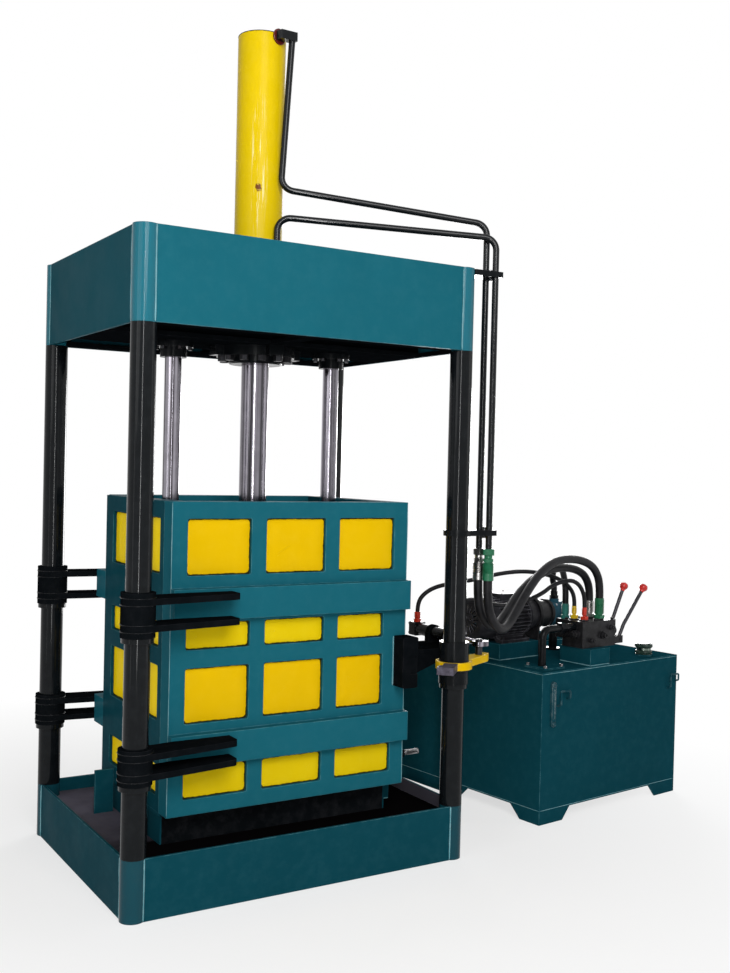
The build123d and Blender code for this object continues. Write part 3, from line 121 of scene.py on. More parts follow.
class DetailSettings(bpy.types.PropertyGroup):
    """Sizes of the small things that only the scene has."""

    edge_wave: length_setting("Edge wave", "How far a yellow field's edge wanders", 0.0016, 0, 0.02)
    # The inset leaves the dark olive showing round the field, as painted shade.
    field_inset: length_setting("Field inset", "Dark margin round a yellow field", 0.0045, 0, 0.05)
    bead_radius: length_setting("Weld bead", "Radius of a weld bead", 0.0035, 0.001, 0.01)
    bead_pitch: length_setting("Bead ripple", "Length of one ripple of a bead", 0.006, 0.002, 0.03)
    edge_radius: length_setting(
        "Edge softness", "Radius that softens the light on plate edges", 0.003, 0, 0.02)


class StageSettings(bpy.types.PropertyGroup):
    """Camera and light of the photograph."""

    eye: bpy.props.FloatVectorProperty(
        name="Eye", description="Place of the camera", subtype="TRANSLATION", unit="LENGTH",
        size=3, default=(-2.2798, -4.6947, 1.778))
    yaw: angle_setting("Yaw", "Camera turned from +Y towards +X", 31.649)
    pitch: angle_setting("Pitch", "Camera tilted up", -1.003)
    roll: angle_setting("Roll", "Camera rolled", 1.354)
    lens: amount_setting("Lens", "Focal length on a 36 mm frame", 41.33, 10, 200)
    key_power: amount_setting("Key light", "Power of the main lamp", 228, 0, 5000)
    fill_power: amount_setting("Fill light", "Power of the fill lamp", 44, 0, 5000)
    rear_power: amount_setting(
        "Rear light", "Power of the lamp behind, at the tank's side", 230, 0, 5000)
    strip_power: amount_setting("Strip lights", "Power of the two tall lamps at the sides", 14, 0, 500)
    line_power: amount_setting(
        "Front strip", "Power of the tall lamp that draws a line down each tube", 150, 0, 500)
    sky: amount_setting("Sky", "Strength of the soft surrounding light", 0.24, 0, 2)


def paint():
    """Colours as the user has them."""
    return bpy.context.scene.baler_paint


def detail():
    """Small sizes as the user has them."""
    return bpy.context.scene.baler_detail


# Mesh surfaces
# Forms round a turned section. Then in metres: the largest rounding of its edges, the length of
# a ridge, a washer's thickness, and the corner radius and thickness of a yellow field.
ROUND, HEX, KNURL = 0, 1, 2
TURNED_EDGE, RIDGE, WASHER = 0.0015, 0.006, 0.0022
FIELD_CORNER, FIELD_THICK = 0.016, 0.0012


def rings_mesh(points):
    """Quads between neighbouring points of an (n, m, 3) array: n rings of m points, each ring
    closed on itself."""
    n, m = points.shape[:2]
    i, j = np.meshgrid(np.arange(n - 1), np.arange(m), indexing="ij")
    beside = (j + 1) % m
    quads = np.stack([i * m + j, (i + 1) * m + j, (i + 1) * m + beside, i * m + beside], axis=-1)
    mesh = bpy.data.meshes.new("surface")
    mesh.vertices.add(n * m)
    mesh.vertices.foreach_set("co", points.reshape(-1).astype(np.float32))
    mesh.loops.add(quads.size)
    mesh.loops.foreach_set("vertex_index", quads.reshape(-1).astype(np.int32))
    mesh.polygons.add(quads.size // 4)
    mesh.polygons.foreach_set("loop_start", np.arange(0, quads.size, 4, dtype=np.int32))
    mesh.update(calc_edges=True)
    return mesh


def joined(name, meshes):
    """One clean mesh from several: doubles merged, open ends filled, normals outwards."""
    bm = bmesh.new()
    for mesh in meshes:
        bm.from_mesh(mesh)
        bpy.data.meshes.remove(mesh)
    bmesh.ops.remove_doubles(bm, verts=bm.verts, dist=1e-6)
    flat = [f for f in bm.faces if f.calc_area() < 1e-14]
    bmesh.ops.delete(bm, geom=flat, context="FACES")
    bmesh.ops.holes_fill(bm, edges=[e for e in bm.edges if e.is_boundary], sides=0)
    bmesh.ops.recalc_face_normals(bm, faces=bm.faces)
    mesh = bpy.data.meshes.new(name)
    bm.to_mesh(mesh)
    bm.free()
    return mesh


def basis(axis):
    """Two unit vectors square to axis, and axis itself, as numpy rows."""
    w = np.asarray(axis, float)
    w = w / np.linalg.norm(w)
    helper = UP if abs(w[2]) < 0.9 else np.array([1.0, 0.0, 0.0])
    u = np.cross(helper, w)
    u /= np.linalg.norm(u)
    return u, np.cross(w, u), w


def circle(count):
    """Angles of evenly spaced points round a circle."""
    return np.linspace(0, 2 * np.pi, count, endpoint=False)


def lathe(origin, axis, profile, steps, wave):
    """Profile of (radius, height) pairs turned about axis through origin. wave(angle)
    multiplies the radius, which gives flats, ripples and knurls."""
    u, v, w = basis(axis)
    angle = circle(steps)[None, :]
    radius, height = np.asarray(profile, float).T[:, :, None]
    ring = np.cos(angle)[..., None] * u + np.sin(angle)[..., None] * v
    swung = (radius * wave(angle))[..., None] * ring
    return rings_mesh(np.asarray(origin, float) + swung + height[..., None] * w)


def hexagon(angle):
    """Radius of a hexagon of flat-to-flat radius 1 at each angle."""
    sector = np.pi / 3
    return 1 / np.cos((angle + sector / 2) % sector - sector / 2)


def tube(path, radius, sides):
    """Ring carried along a path of points; radius is a number or one per point. The ring's
    first direction is carried along by dropping the part that lies on each new tangent."""
    path = np.asarray(path, float)
    tangent = np.gradient(path, axis=0)
    tangent /= np.linalg.norm(tangent, axis=1)[:, None]
    u = basis(tangent[0])[0]
    across = np.empty_like(path)
    for k, way in enumerate(tangent):
        u = u - way * np.dot(u, way)
        u /= np.linalg.norm(u)
        across[k] = u
    up = np.cross(tangent, across)
    angle = circle(sides)[None, :, None]
    radius = np.broadcast_to(np.asarray(radius, float), (len(path),))[:, None, None]
    ring = np.cos(angle) * across[:, None] + np.sin(angle) * up[:, None]
    return rings_mesh(path[:, None] + radius * ring)


def bead(start, end, radius=None, seed=0):
    """Weld bead from start to end: a thin tube whose radius swells and shrinks once each
    ripple, with a slow uneven drift."""
    start, end = np.asarray(start, float), np.asarray(end, float)
    radius = detail().bead_radius if radius is None else radius
    pitch = detail().bead_pitch
    length = np.linalg.norm(end - start)
    share = np.linspace(0, 1, max(12, int(length / pitch * 4)))
    run = share * length
    ripple = 1 + 0.16 * np.sin(2 * np.pi * run / pitch) + 0.12 * np.sin(run * 37 + seed)
    ends = np.sqrt(np.clip(1 - np.abs(2 * share - 1) ** 24, 0, 1))
    u, v, _ = basis(end - start)
    drift = np.sin(run * 23 + seed)[:, None] * u + np.sin(run * 17 + 2 * seed)[:, None] * v
    path = start + share[:, None] * (end - start) + 0.15 * radius * drift
    return tube(path, radius * ripple * ends, sides=8)


def bead_loop(corners, radius, seed=0):
    """Beads along the closed line through the corners."""
    ends = corners[1:] + corners[:1]
    return [bead(start, end, radius, seed + k) for k, (start, end) in enumerate(zip(corners, ends))]


def ring_bead(centre, radius, size):
    """Weld bead round an upright tube: a torus whose large radius ripples by a sixth of the
    bead."""
    ripples = max(12, int(2 * np.pi * radius / (1.6 * detail().bead_pitch)))
    turn = np.linspace(0, 2 * np.pi, 9)
    profile = np.stack([radius + size * np.cos(turn), size * np.sin(turn)], axis=-1)
    return lathe(centre, UP, profile, 4 * ripples,
                 lambda angle: 1 + size / radius / 6 * np.sin(ripples * angle))


def turned(origin, axis, sections, steps=36):
    """Stack of (kind, radius, length) sections along an axis, as one lathe. A hex section has
    six flats, a ridged one swells and shrinks by a sine along it, a knurled one has fine grooves
    round it, and a socket one ends in a hexagonal recess."""
    rows, height = [(0.0, 0.0, ROUND)], 0.0
    for kind, radius, length in sections:
        if kind == "ridged":
            count = max(3, round(length / RIDGE))
            share = np.linspace(0, 1, 6 * count + 1)
            swell = radius * (0.96 + 0.05 * np.sin(np.pi * (2 * count * share - 0.5)))
            rows += [(wide, height + at * length, ROUND) for wide, at in zip(swell, share)]
        else:
            edge = min(TURNED_EDGE, 0.12 * radius, 0.3 * length)
            form = {"hex": HEX, "knurl": KNURL}.get(kind, ROUND)
            rows += [(radius - edge, height, ROUND), (radius, height + edge, form),
                     (radius, height + length - edge, form), (radius - edge, height + length, ROUND)]
        height += length
        if kind == "socket":
            rows += [(0.5 * radius, height, HEX), (0.5 * radius, height - 0.5 * length, HEX)]
            height -= 0.5 * length
    rows.append((0.0, height, ROUND))
    rows = np.array(rows)
    form = rows[:, 2][:, None]

    def wave(angle):
        knurl = 1 + 0.02 * np.sin(angle * steps / 3)
        return np.where(form == HEX, hexagon(angle), np.where(form == KNURL, knurl, 1.0))

    return lathe(origin, axis, rows[:, :2], steps, wave)


def bolt(origin, axis, across):
    """Hexagon head of a width across its flats, on a washer."""
    return turned(origin, axis, [("round", 0.62 * across, WASHER), ("hex", across / 2, 0.62 * across)])


def prism(outline, along):
    """Closed outline carried straight along a vector; its open ends are filled later."""
    outline = np.asarray(outline, float)
    return rings_mesh(np.stack([outline, outline + along]))


def unit(u, v, z):
    """Point of the power unit's own frame, which stands turned a little: u along its front, v
    to the rear, z up, in millimetres."""
    return UNIT_AT + MM * (u * ALONG + v * ACROSS + z * UP)


def round_rect(width, height, count):
    """Points and outward directions, evenly spaced, round a rectangle with round corners: the
    arc's centre and angle go straight from one end of each side and corner to the other."""
    a, b, arc = width - 2 * FIELD_CORNER, height - 2 * FIELD_CORNER, np.pi * FIELD_CORNER / 2
    stops = np.cumsum([0, b, arc, a, arc, b, arc, a, arc])
    run = np.linspace(0, stops[-1], count, endpoint=False)
    x = np.interp(run, stops, np.array([1, 1, 1, -1, -1, -1, -1, 1, 1]) * a / 2)
    y = np.interp(run, stops, np.array([-1, 1, 1, 1, 1, -1, -1, -1, -1]) * b / 2)
    angle = np.interp(run, stops, np.array([0, 0, 1, 1, 2, 2, 3, 3, 4]) * np.pi / 2)
    ways = np.stack([np.cos(angle), np.sin(angle)], axis=-1)
    return np.stack([x, y], axis=-1) + FIELD_CORNER * ways, ways, run / stops[-1]


def rounded_field(centre, right, out, width, height, seed):
    """Upright flat field with round corners and a wandering edge: a rounded rectangle moved in
    and out by four sines round its perimeter, as rings shrunk towards the middle, the outer one
    lowered by the thickness, so it closes on its panel."""
    edge, ways, share = round_rect(width, height, 240)
    turn = 2 * np.pi * share
    wave = detail().edge_wave * (
        0.45 * np.sin(5 * turn + seed) + 0.35 * np.sin(13 * turn + 2.3 * seed)
        + 0.3 * np.sin(29 * turn + 1.7 * seed) + 0.2 * np.sin(53 * turn + 0.7 * seed) - 0.5)
    edge = edge + wave[:, None] * ways
    half = np.array([width, height]) / 2
    shrink = np.array([0.0, 0.0, 0.0014, 0.5 * half.min(), half.min()])
    inner = edge[None] * np.clip(1 - shrink[:, None, None] / half, 0, 1)
    lift = np.array([0.0, 0.6, 1.0, 1.0, 1.0]) * FIELD_THICK
    return rings_mesh(centre + inner[..., :1] * right + inner[..., 1:] * UP + lift[:, None, None] * out)


def place(name, meshes, body, slot, material=None, smooth=True, sharp=38, replaces=()):
    """Object from meshes, riding on its body, with the finish of its slot or one of its own."""
    mesh = joined(name, meshes)
    piece = bpy.data.objects.new(name, mesh)
    bpy.context.scene.collection.objects.link(piece)
    mesh.materials.append(material or finish_of(slot))
    if smooth:
        mesh.shade_smooth()
        mesh.set_sharp_from_angle(angle=math.radians(sharp))
    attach(piece, body)
    if replaces:
        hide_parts(*replaces)
    return piece


def solids(node):
    """Low and high corners of each separate solid in a CAD node, from a merged copy."""
    bm = bmesh.new()
    bm.from_mesh(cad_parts[node].data)
    bmesh.ops.remove_doubles(bm, verts=bm.verts, dist=1e-5)
    bm.verts.ensure_lookup_table()
    unseen, found = set(range(len(bm.verts))), []
    while unseen:
        stack, island = [unseen.pop()], []
        while stack:
            vert = bm.verts[stack.pop()]
            island.append(vert.co[:])
            for edge in vert.link_edges:
                other = edge.other_vert(vert).index
                if other in unseen:
                    unseen.remove(other)
                    stack.append(other)
        island = np.array(island)
        found.append((island.min(axis=0), island.max(axis=0)))
    bm.free()
    return sorted(found, key=lambda box: tuple(np.round(box[0], 4)))


# Material nodes
# The colour sockets of a mix node go by number, because its names are the same for each type.
BEVEL_SAMPLES = 6
COLOUR_A, COLOUR_B, COLOUR_OUT = 6, 7, 2


def add(tree, kind, inputs=None, **attributes):
    """Node of a kind; inputs maps socket names or numbers to values or to sockets."""
    made = tree.nodes.new("ShaderNode" + kind)
    for key, value in attributes.items():
        setattr(made, key, value)
    for key, value in (inputs or {}).items():
        socket = made.inputs[key]
        if isinstance(value, bpy.types.NodeSocket):
            tree.links.new(value, socket)
        else:
            socket.default_value = value
    return made


def bare_tree(holder):
    """Emptied node tree of a material or of the world."""
    holder.use_nodes = True
    holder.node_tree.nodes.clear()
    return holder.node_tree


def blank(name, **constants):
    """Material with a bare Principled shader, and the constants on its own sockets."""
    material = bpy.data.materials.new(name)
    tree = bare_tree(material)
    shader = add(tree, "BsdfPrincipled", {key.replace("_", " "): value for key, value in constants.items()})
    add(tree, "OutputMaterial", {"Surface": shader.outputs["BSDF"]})
    return material, tree, shader


def rgba(colour, scale=1.0):
    """Colour with its alpha, made lighter or darker by a scale."""
    return (*(scale * part for part in colour[:3]), 1)


def coords_of(tree):
    """Place of a point of the surface, in metres."""
    return add(tree, "TexCoord").outputs["Object"]


def parted(tree):
    """X, Y and Z of a point of the surface, in metres."""
    return add(tree, "SeparateXYZ", {"Vector": coords_of(tree)}).outputs


def noise(tree, coords, scale, levels=3.0, rough=0.55, stretch=None):
    """Noise value in object space, stretched per axis where asked."""
    if stretch:
        coords = add(tree, "Mapping", {"Vector": coords, "Scale": stretch}).outputs["Vector"]
    return add(tree, "TexNoise", {"Vector": coords, "Scale": scale, "Detail": levels,
                                  "Roughness": rough}).outputs["Fac"]


def ramp(tree, value, low, high, out_low=0.0, out_high=1.0):
    """Value mapped from low..high to out_low..out_high, held at the ends."""
    return add(tree, "MapRange", {"Value": value, "From Min": low, "From Max": high,
                                  "To Min": out_low, "To Max": out_high}).outputs["Result"]


def maths(tree, operation, first, second=0.0):
    """Result of one operation on two values."""
    return add(tree, "Math", {0: first, 1: second}, operation=operation).outputs["Value"]


def times(tree, first, second):
    """Product of two values."""
    return maths(tree, "MULTIPLY", first, second)


def below(tree, value, limit):
    """1 where the value's size is under the limit."""
    return maths(tree, "LESS_THAN", maths(tree, "ABSOLUTE", value), limit)


def beyond(tree, value, limit):
    """1 where the value's size is over the limit."""
    return maths(tree, "GREATER_THAN", maths(tree, "ABSOLUTE", value), limit)


def mix(tree, share, first, second):
    """Colour between first and second by share."""
    made = add(tree, "Mix", {"Factor": share, COLOUR_A: first, COLOUR_B: second}, data_type="RGBA")
    return made.outputs[COLOUR_OUT]


def bump(tree, strength, distance, height, normal=None):
    """Normal that follows a height, on top of another normal where one is given."""
    inputs = {"Strength": strength, "Distance": distance, "Height": height}
    if normal is not None:
        inputs["Normal"] = normal
    return add(tree, "Bump", inputs).outputs["Normal"]


def rounded_normal(tree, radius):
    """Normal that bends round sharp edges by a radius."""
    return add(tree, "Bevel", {"Radius": radius}, samples=BEVEL_SAMPLES).outputs["Normal"]


def edge_share(tree, soft_normal):
    """How near a point is to a sharp edge, from the dot product of the rounded normal and the
    true one."""
    true_normal = add(tree, "NewGeometry").outputs["Normal"]
    dot = add(tree, "VectorMath", {0: soft_normal, 1: true_normal}, operation="DOT_PRODUCT")
    return ramp(tree, dot.outputs["Value"], 0.995, 0.80)


def wire(tree, shader, colour, roughness, normal):
    """Colour, roughness and normal linked to the shader."""
    for name, socket in (("Base Color", colour), ("Roughness", roughness), ("Normal", normal)):
        tree.links.new(socket, shader.inputs[name])


def overpaint(material, share, colour):
    """Another colour laid over a painted material's own by a share."""
    tree = material.node_tree
    shader = next(node for node in tree.nodes if node.bl_idname == "ShaderNodeBsdfPrincipled")
    base = shader.inputs["Base Color"]
    tree.links.new(mix(tree, share, base.links[0].from_socket, colour), base)
    return material


# Kinds of material
# How far the edge of a band fades and a metal edge is rounded, in metres; the waves of the
# hose's wrap, in radians per metre of its run and for one turn round it.
CHIP_COLOUR, OXIDE_COLOUR = (0.02, 0.012, 0.01, 1), (0.09, 0.035, 0.012, 1)
RUBBER_DARK, RUBBER_PALE = (0.004, 0.004, 0.005, 1), (0.013, 0.013, 0.015, 1)
BAND_EDGE, METAL_EDGE = 0.002, 0.0015
WRAP_RUN, WRAP_TURN = 900.0, 8 * math.pi


def painted(name, colour, worn, rough=0.32, mottle=0.22, wear=0.5, peel=0.05, waviness=0.12,
            chips=0.0, streaks=0.0, coat=0.0, radius=None, shine=0.03, band=None, haze=0.17):
    """Brushed or sprayed enamel: broad cloudy tone, fine grain, orange peel and slow waviness in the bump,
    paler edges that are partly wear and partly a painted highlight, chips down to dark metal and rain-like
    streaks.
    band is a (height, colour) pair for the foot and one for the head: below the first and
    above the second the paint has that colour."""
    material, tree, shader = blank(name, Coat_Weight=coat, Coat_Roughness=0.12, IOR=1.5,
                                   Specular_IOR_Level=shine)
    coords = coords_of(tree)
    cloud = noise(tree, coords, 1.7, 4, 0.6)
    grain = noise(tree, coords, 22, 6, 0.65)
    tone = mix(tree, ramp(tree, cloud, 0.3, 0.7), rgba(colour, 1 - mottle), rgba(colour, 1 + mottle))
    if band:
        (foot, foot_colour), (head, head_colour) = band
        height = parted(tree)["Z"]
        tone = mix(tree, ramp(tree, height, foot, foot - BAND_EDGE), tone, foot_colour)
        tone = mix(tree, ramp(tree, height, head - BAND_EDGE, head), tone, head_colour)
    tone = mix(tree, ramp(tree, grain, 0.45, 0.8, 0, mottle), tone, rgba(worn, 1.1))
    if streaks:
        run = noise(tree, coords, 9, 3, 0.5, stretch=(1.0, 1.0, 0.06))
        tone = mix(tree, ramp(tree, run, 0.5, 0.75, 0, streaks), tone, rgba(colour, 0.45))
    if chips:
        spots = noise(tree, coords, 34, 5, 0.7)
        tone = mix(tree, ramp(tree, spots, 0.735 - 0.03 * chips, 0.75), tone, CHIP_COLOUR)
    soft_normal = rounded_normal(tree, radius or detail().edge_radius)
    # Paler edges: partly wear, partly a painted highlight along every edge.
    rubbed_and_lit = times(tree, edge_share(tree, soft_normal), ramp(tree, grain, 0.4, 0.6, 0.15, wear))
    tone = mix(tree, rubbed_and_lit, tone, rgba(worn))
    gloss = ramp(tree, noise(tree, coords, 6, 5, 0.6), 0.3, 0.7, rough - 0.4 * haze, rough + 0.6 * haze)
    slow = bump(tree, waviness, 0.004, noise(tree, coords, 4.5, 2), soft_normal)
    wire(tree, shader, tone, gloss, bump(tree, peel, 0.0006, noise(tree, coords, 420, 3), slow))
    return material


def metal(name, colour, rough, oxide=0.0, lines=(1.0, 1.0, 1.0), line_scale=60, scratch=0.05,
          lined_depth=0.25, lined_dark=0.35):
    """Bare metal: turning or brushing lines as noise squeezed along the axis they run across,
    finger-mark clouds in the gloss, and brown oxide in patches."""
    material, tree, shader = blank(name, Metallic=1.0, IOR=1.6)
    coords = coords_of(tree)
    cloud = noise(tree, coords, 11, 4, 0.6)
    lined = noise(tree, coords, line_scale, 4, 0.6, stretch=lines)
    tone = mix(tree, ramp(tree, cloud, 0.35, 0.7), rgba(colour, 0.8), rgba(colour, 1.05))
    tone = mix(tree, ramp(tree, lined, 0.40, 0.60, 0, lined_depth), tone, rgba(colour, lined_dark))
    if oxide:
        patch = noise(tree, coords, 27, 6, 0.7)
        tone = mix(tree, ramp(tree, patch, 0.58, 0.72, 0, oxide), tone, OXIDE_COLOUR)
    gloss = ramp(tree, cloud, 0.3, 0.75, max(rough - 0.06, 0.03), rough + 0.1)
    wire(tree, shader, tone, gloss, bump(tree, scratch, 0.0004, lined, rounded_normal(tree, METAL_EDGE)))
    return material


def rubber(name):
    """Hose cover: cloth-wrap diagonals from the piece's own run and turn values, pale bloom
    in patches, and a broad satin gloss."""
    material, tree, shader = blank(name, IOR=1.5, Specular_IOR_Level=0.14)
    coords = coords_of(tree)
    run = times(tree, add(tree, "Attribute", attribute_name="run").outputs["Fac"], WRAP_RUN)
    turn = times(tree, add(tree, "Attribute", attribute_name="turn").outputs["Fac"], WRAP_TURN)
    one, two = (maths(tree, "SINE", maths(tree, way, run, turn)) for way in ("ADD", "SUBTRACT"))
    bloom = noise(tree, coords, 19, 5, 0.65)
    tone = mix(tree, ramp(tree, bloom, 0.35, 0.75), RUBBER_DARK, RUBBER_PALE)
    weave = bump(tree, 0.16, 0.0005, maths(tree, "ADD", one, two))
    wire(tree, shader, tone, ramp(tree, bloom, 0.3, 0.7, 0.3, 0.5),
         bump(tree, 0.12, 0.0005, noise(tree, coords, 300, 4), weave))
    return material


def plastic(name, colour, rough=0.3):
    """Moulded knob or cap: slight depth of tone, fine pits and a soft sheen of handling."""
    material, tree, shader = blank(name, IOR=1.49, Coat_Weight=0.12, Coat_Roughness=0.1,
                                   Specular_IOR_Level=0.3)
    coords = coords_of(tree)
    cloud = ramp(tree, noise(tree, coords, 30, 4, 0.6), 0.3, 0.7)
    wire(tree, shader, mix(tree, cloud, rgba(colour, 0.75), rgba(colour, 1.15)),
         ramp(tree, cloud, 0, 1, rough - 0.08, rough + 0.12),
         bump(tree, 0.08, 0.0004, noise(tree, coords, 500, 3)))
    return material


# Finishes
# Where a finish changes, in metres from the machine's centre: the crown's side plates, the outer
# sides of the chamber's foot, the inner faces of the base's rim, the teal ends of the columns,
# the lock's hook, the rust spot and the middle of its scratches.
CROWN_PLATE_X, FOOT_SIDE_X = 0.794, 0.5455
RIM_INSIDE_X, RIM_INSIDE_Y, RIM_WALL_X, RIM_WALL_Z = 0.7886, 0.6086, 0.70, 0.18
BASE_TOP, CROWN_FOOT = 0.245, 2.315
HOOK_START, HOOK_FADE = COLUMN_Y - COLUMN_X + 0.112, 0.006
RUST_SPOT, SCRATCH_Z, SCRATCH_SQUEEZE = (-0.050, -0.098, 3.035), 3.12, 0.12


def teal(name):
    """Teal enamel of the crown and the doors."""
    return painted(name, paint().teal, paint().teal_pale, rough=0.34, mottle=0.05, wear=0.8,
                   streaks=0.05, peel=0.1, shine=0.004, radius=0.006)


def deep_teal(name, shine=0.004):
    """Darker teal enamel of the tank, the side walls and the base."""
    return painted(name, paint().teal_deep, paint().teal_pale, rough=0.36, mottle=0.045, wear=0.8,
                   streaks=0.05, peel=0.1, shine=shine, radius=0.005)


def matt_teal(name):
    """The same enamel, dulled by oil on the tank's lid."""
    return deep_teal(name, shine=0.0)


def worn_teal(name):
    """Deep teal with bare edges, of the tank's hooks and its gauge."""
    return painted(name, paint().teal_deep, (0.3, 0.36, 0.36), rough=0.4, wear=0.95, radius=0.004)


def weld_highlight_teal(name):
    """Pale teal of the beads: a painted highlight where they catch the light."""
    return painted(name, paint().teal_pale, (0.4, 0.5, 0.52), rough=0.4, wear=0.8)


def crown_teal_side_shade(name):
    """Teal enamel, darker on the plates of the two sides, between the corner tubes: painted shade."""
    material = teal(name)
    tree = material.node_tree
    at = parted(tree)
    side = times(tree, beyond(tree, at["X"], CROWN_PLATE_X), below(tree, at["Y"], COLUMN_Y - SEAM))
    # Half-strength deep teal over the side plates: painted shade of the sides turned from the light.
    return overpaint(material, times(tree, side, 0.45), rgba(paint().teal_deep, 0.5))


def base_teal(name):
    """Deep teal outside, and the deck's worn primer on the inner faces of the rim."""
    material = deep_teal(name)
    tree = material.node_tree
    at = parted(tree)
    inside = times(tree, below(tree, at["X"], RIM_INSIDE_X), below(tree, at["Y"], RIM_INSIDE_Y))
    wall = times(tree, beyond(tree, at["X"], RIM_WALL_X), beyond(tree, at["Z"], RIM_WALL_Z))
    return overpaint(material, times(tree, inside, wall), rgba(paint().deck))


def column_black(name):
    """Glossy black of the columns, teal where they stand in the base and in the crown, with the crown's teal
    lightened a fifth as a painted highlight on the round corners.
    """
    # Teal times 1.2 in the crown: painted highlight on the corner tubes.
    return painted(name, paint().black, (0.04, 0.045, 0.05), rough=0.08, mottle=0.1, wear=0.4,
                   peel=0.004, waviness=0.01, shine=0.13, haze=0.03,
                   band=((BASE_TOP, rgba(paint().teal_deep)), (CROWN_FOOT, rgba(paint().teal, 1.2))))


def gloss_black(name):
    """Black enamel of the parts that have none of their own."""
    return painted(name, paint().black, (0.05, 0.05, 0.055), rough=0.2, mottle=0.1, shine=0.08)


def satin_black(name):
    """Flat black of the arms, the keepers, the lock's shelf and the crown's underside."""
    return painted(name, paint().black, (0.03, 0.03, 0.035), rough=0.4, mottle=0.1, wear=0.6, shine=0.0)


def pipe_black(name):
    """Smooth glossy black of the press pipes."""
    return painted(name, paint().black, (0.05, 0.05, 0.055), rough=0.1, mottle=0.1, wear=0.3, peel=0.01,
                   shine=0.2, haze=0.04)


def foot_shadow_black(name):
    """Black foot of the chamber, its black a painted shadow under the door, teal on its outer sides."""
    # The black stands for the shadow under the chamber: painted shadow.
    material = painted(name, paint().black, (0.04, 0.04, 0.045), rough=0.4, mottle=0.3, wear=0.4)
    tree = material.node_tree
    return overpaint(material, beyond(tree, parted(tree)["X"], FOOT_SIDE_X), rgba(paint().teal_deep))


def worn_shaded_deck(name):
    """Deck nearly black in front of and right of the chamber, with old oil and painted shadow of the chamber
    together; paler purple-grey elsewhere."""
    material = painted(name, rgba(paint().deck, 1.5), (0.10, 0.09, 0.10), rough=0.6, mottle=0.4,
                       wear=0.3, chips=0.8, shine=0.0)
    tree = material.node_tree
    at = parted(tree)
    uneven = times(tree, noise(tree, coords_of(tree), 5, 3), 0.18)
    front = ramp(tree, maths(tree, "ADD", at["Y"], uneven), -0.10, -0.20)
    across = maths(tree, "ADD", at["X"], uneven)
    front = times(tree, front, ramp(tree, across, -0.70, -0.58))
    oil = maths(tree, "MAXIMUM", front, ramp(tree, across, 0.50, 0.62))
    # Near-black over the masked deck: partly oil, partly painted shadow of the chamber and the door.
    return overpaint(material, oil, (0.0025, 0.0022, 0.0025, 1))


def lock_yellow(name):
    """Yellow hub and drive arm; the hook, past the hub towards the door, is bare worn
    steel. Both locks are mirror images, so the distance is read from |y|."""
    material = painted(name, paint().yellow, (0.9, 0.8, 0.35), rough=0.34, mottle=0.1, wear=0.8,
                       radius=0.004)
    tree = material.node_tree
    at = parted(tree)
    reach = maths(tree, "SUBTRACT", maths(tree, "ABSOLUTE", at["Y"]), at["X"])
    patch = ramp(tree, noise(tree, coords_of(tree), 45, 5, 0.7), 0.35, 0.7)
    steel = mix(tree, patch, (0.10, 0.092, 0.12, 1), (0.035, 0.03, 0.04, 1))
    return overpaint(material, ramp(tree, reach, HOOK_START, HOOK_START + HOOK_FADE), steel)


def cylinder_yellow(name):
    """Yellow enamel with a rust spot, and pale scratches that run down to it in an upright
    ellipsoid."""
    material = painted(name, (0.68, 0.48, 0.002), (0.85, 0.72, 0.15), rough=0.24, mottle=0.05, wear=0.3,
                       shine=0.06)
    tree = material.node_tree
    coords = coords_of(tree)
    uneven = times(tree, maths(tree, "SUBTRACT", noise(tree, coords, 90, 4), 0.5), 0.035)
    away = add(tree, "VectorMath", {0: coords, 1: RUST_SPOT}, operation="DISTANCE").outputs["Value"]
    rust = ramp(tree, maths(tree, "ADD", away, uneven), 0.017, 0.011)
    squeezed = add(tree, "Mapping", {
        "Vector": coords, "Scale": (1, 1, SCRATCH_SQUEEZE),
        "Location": (-RUST_SPOT[0], -RUST_SPOT[1], -SCRATCH_SQUEEZE * SCRATCH_Z)}).outputs["Vector"]
    beside = add(tree, "VectorMath", {0: squeezed}, operation="LENGTH").outputs["Value"]
    lines = ramp(tree, noise(tree, coords, 60, 5, 0.7, stretch=(2.5, 2.5, 0.08)), 0.56, 0.60)
    scratched = times(tree, ramp(tree, beside, 0.045, 0.02, 0, 0.8), lines)
    overpaint(material, scratched, (0.9, 0.85, 0.45, 1))
    return overpaint(material, rust, (0.16, 0.05, 0.012, 1))


def panel_margin(name):
    """Dark olive that shows round each yellow field: painted shade along the edge of its recess."""
    return painted(name, paint().outline, (0.12, 0.12, 0.02), rough=0.45, mottle=0.3, wear=0.2, coat=0.05)


def panel_yellow(name, colour, worn, mottle=0.04):
    """Hand-brushed yellow of the fields."""
    return painted(name, colour, worn, rough=0.34, mottle=mottle, wear=0.1, peel=0.06, waviness=0.2,
                   radius=0.0012)


def motor_grey(name):
    """Grey enamel of the motor and its cowl, paler on the fins' edges: partly bare metal, partly a painted
    highlight.
    """
    return painted(name, paint().motor, (0.30, 0.30, 0.34), rough=0.36, mottle=0.08, wear=1.0,
                   radius=0.0032, shine=0.04)


def pump_blue(name):
    """Blue enamel of the pump."""
    return painted(name, paint().pump, (0.1, 0.22, 0.28), rough=0.3, mottle=0.2)


def cast_iron(name):
    """Rough dark casting of the valve block and the bell housing."""
    return painted(name, (0.008, 0.008, 0.009), (0.07, 0.07, 0.075), rough=0.36, mottle=0.3, wear=0.8,
                   peel=0.35, shine=0.12)


def hard_chrome(name):
    """Chrome of the rods, with dark upright bands: partly drawing lines, partly a painted reflection."""
    # Strong dark upright bands round the rod: painted reflection bands.
    return metal(name, (0.37, 0.35, 0.395), rough=0.12, lines=(10, 10, 0.02), line_scale=6,
                 scratch=0.02, lined_depth=0.9, lined_dark=0.1)


def knob_red(name):
    """Red of the lever knobs."""
    return plastic(name, paint().red, 0.28)


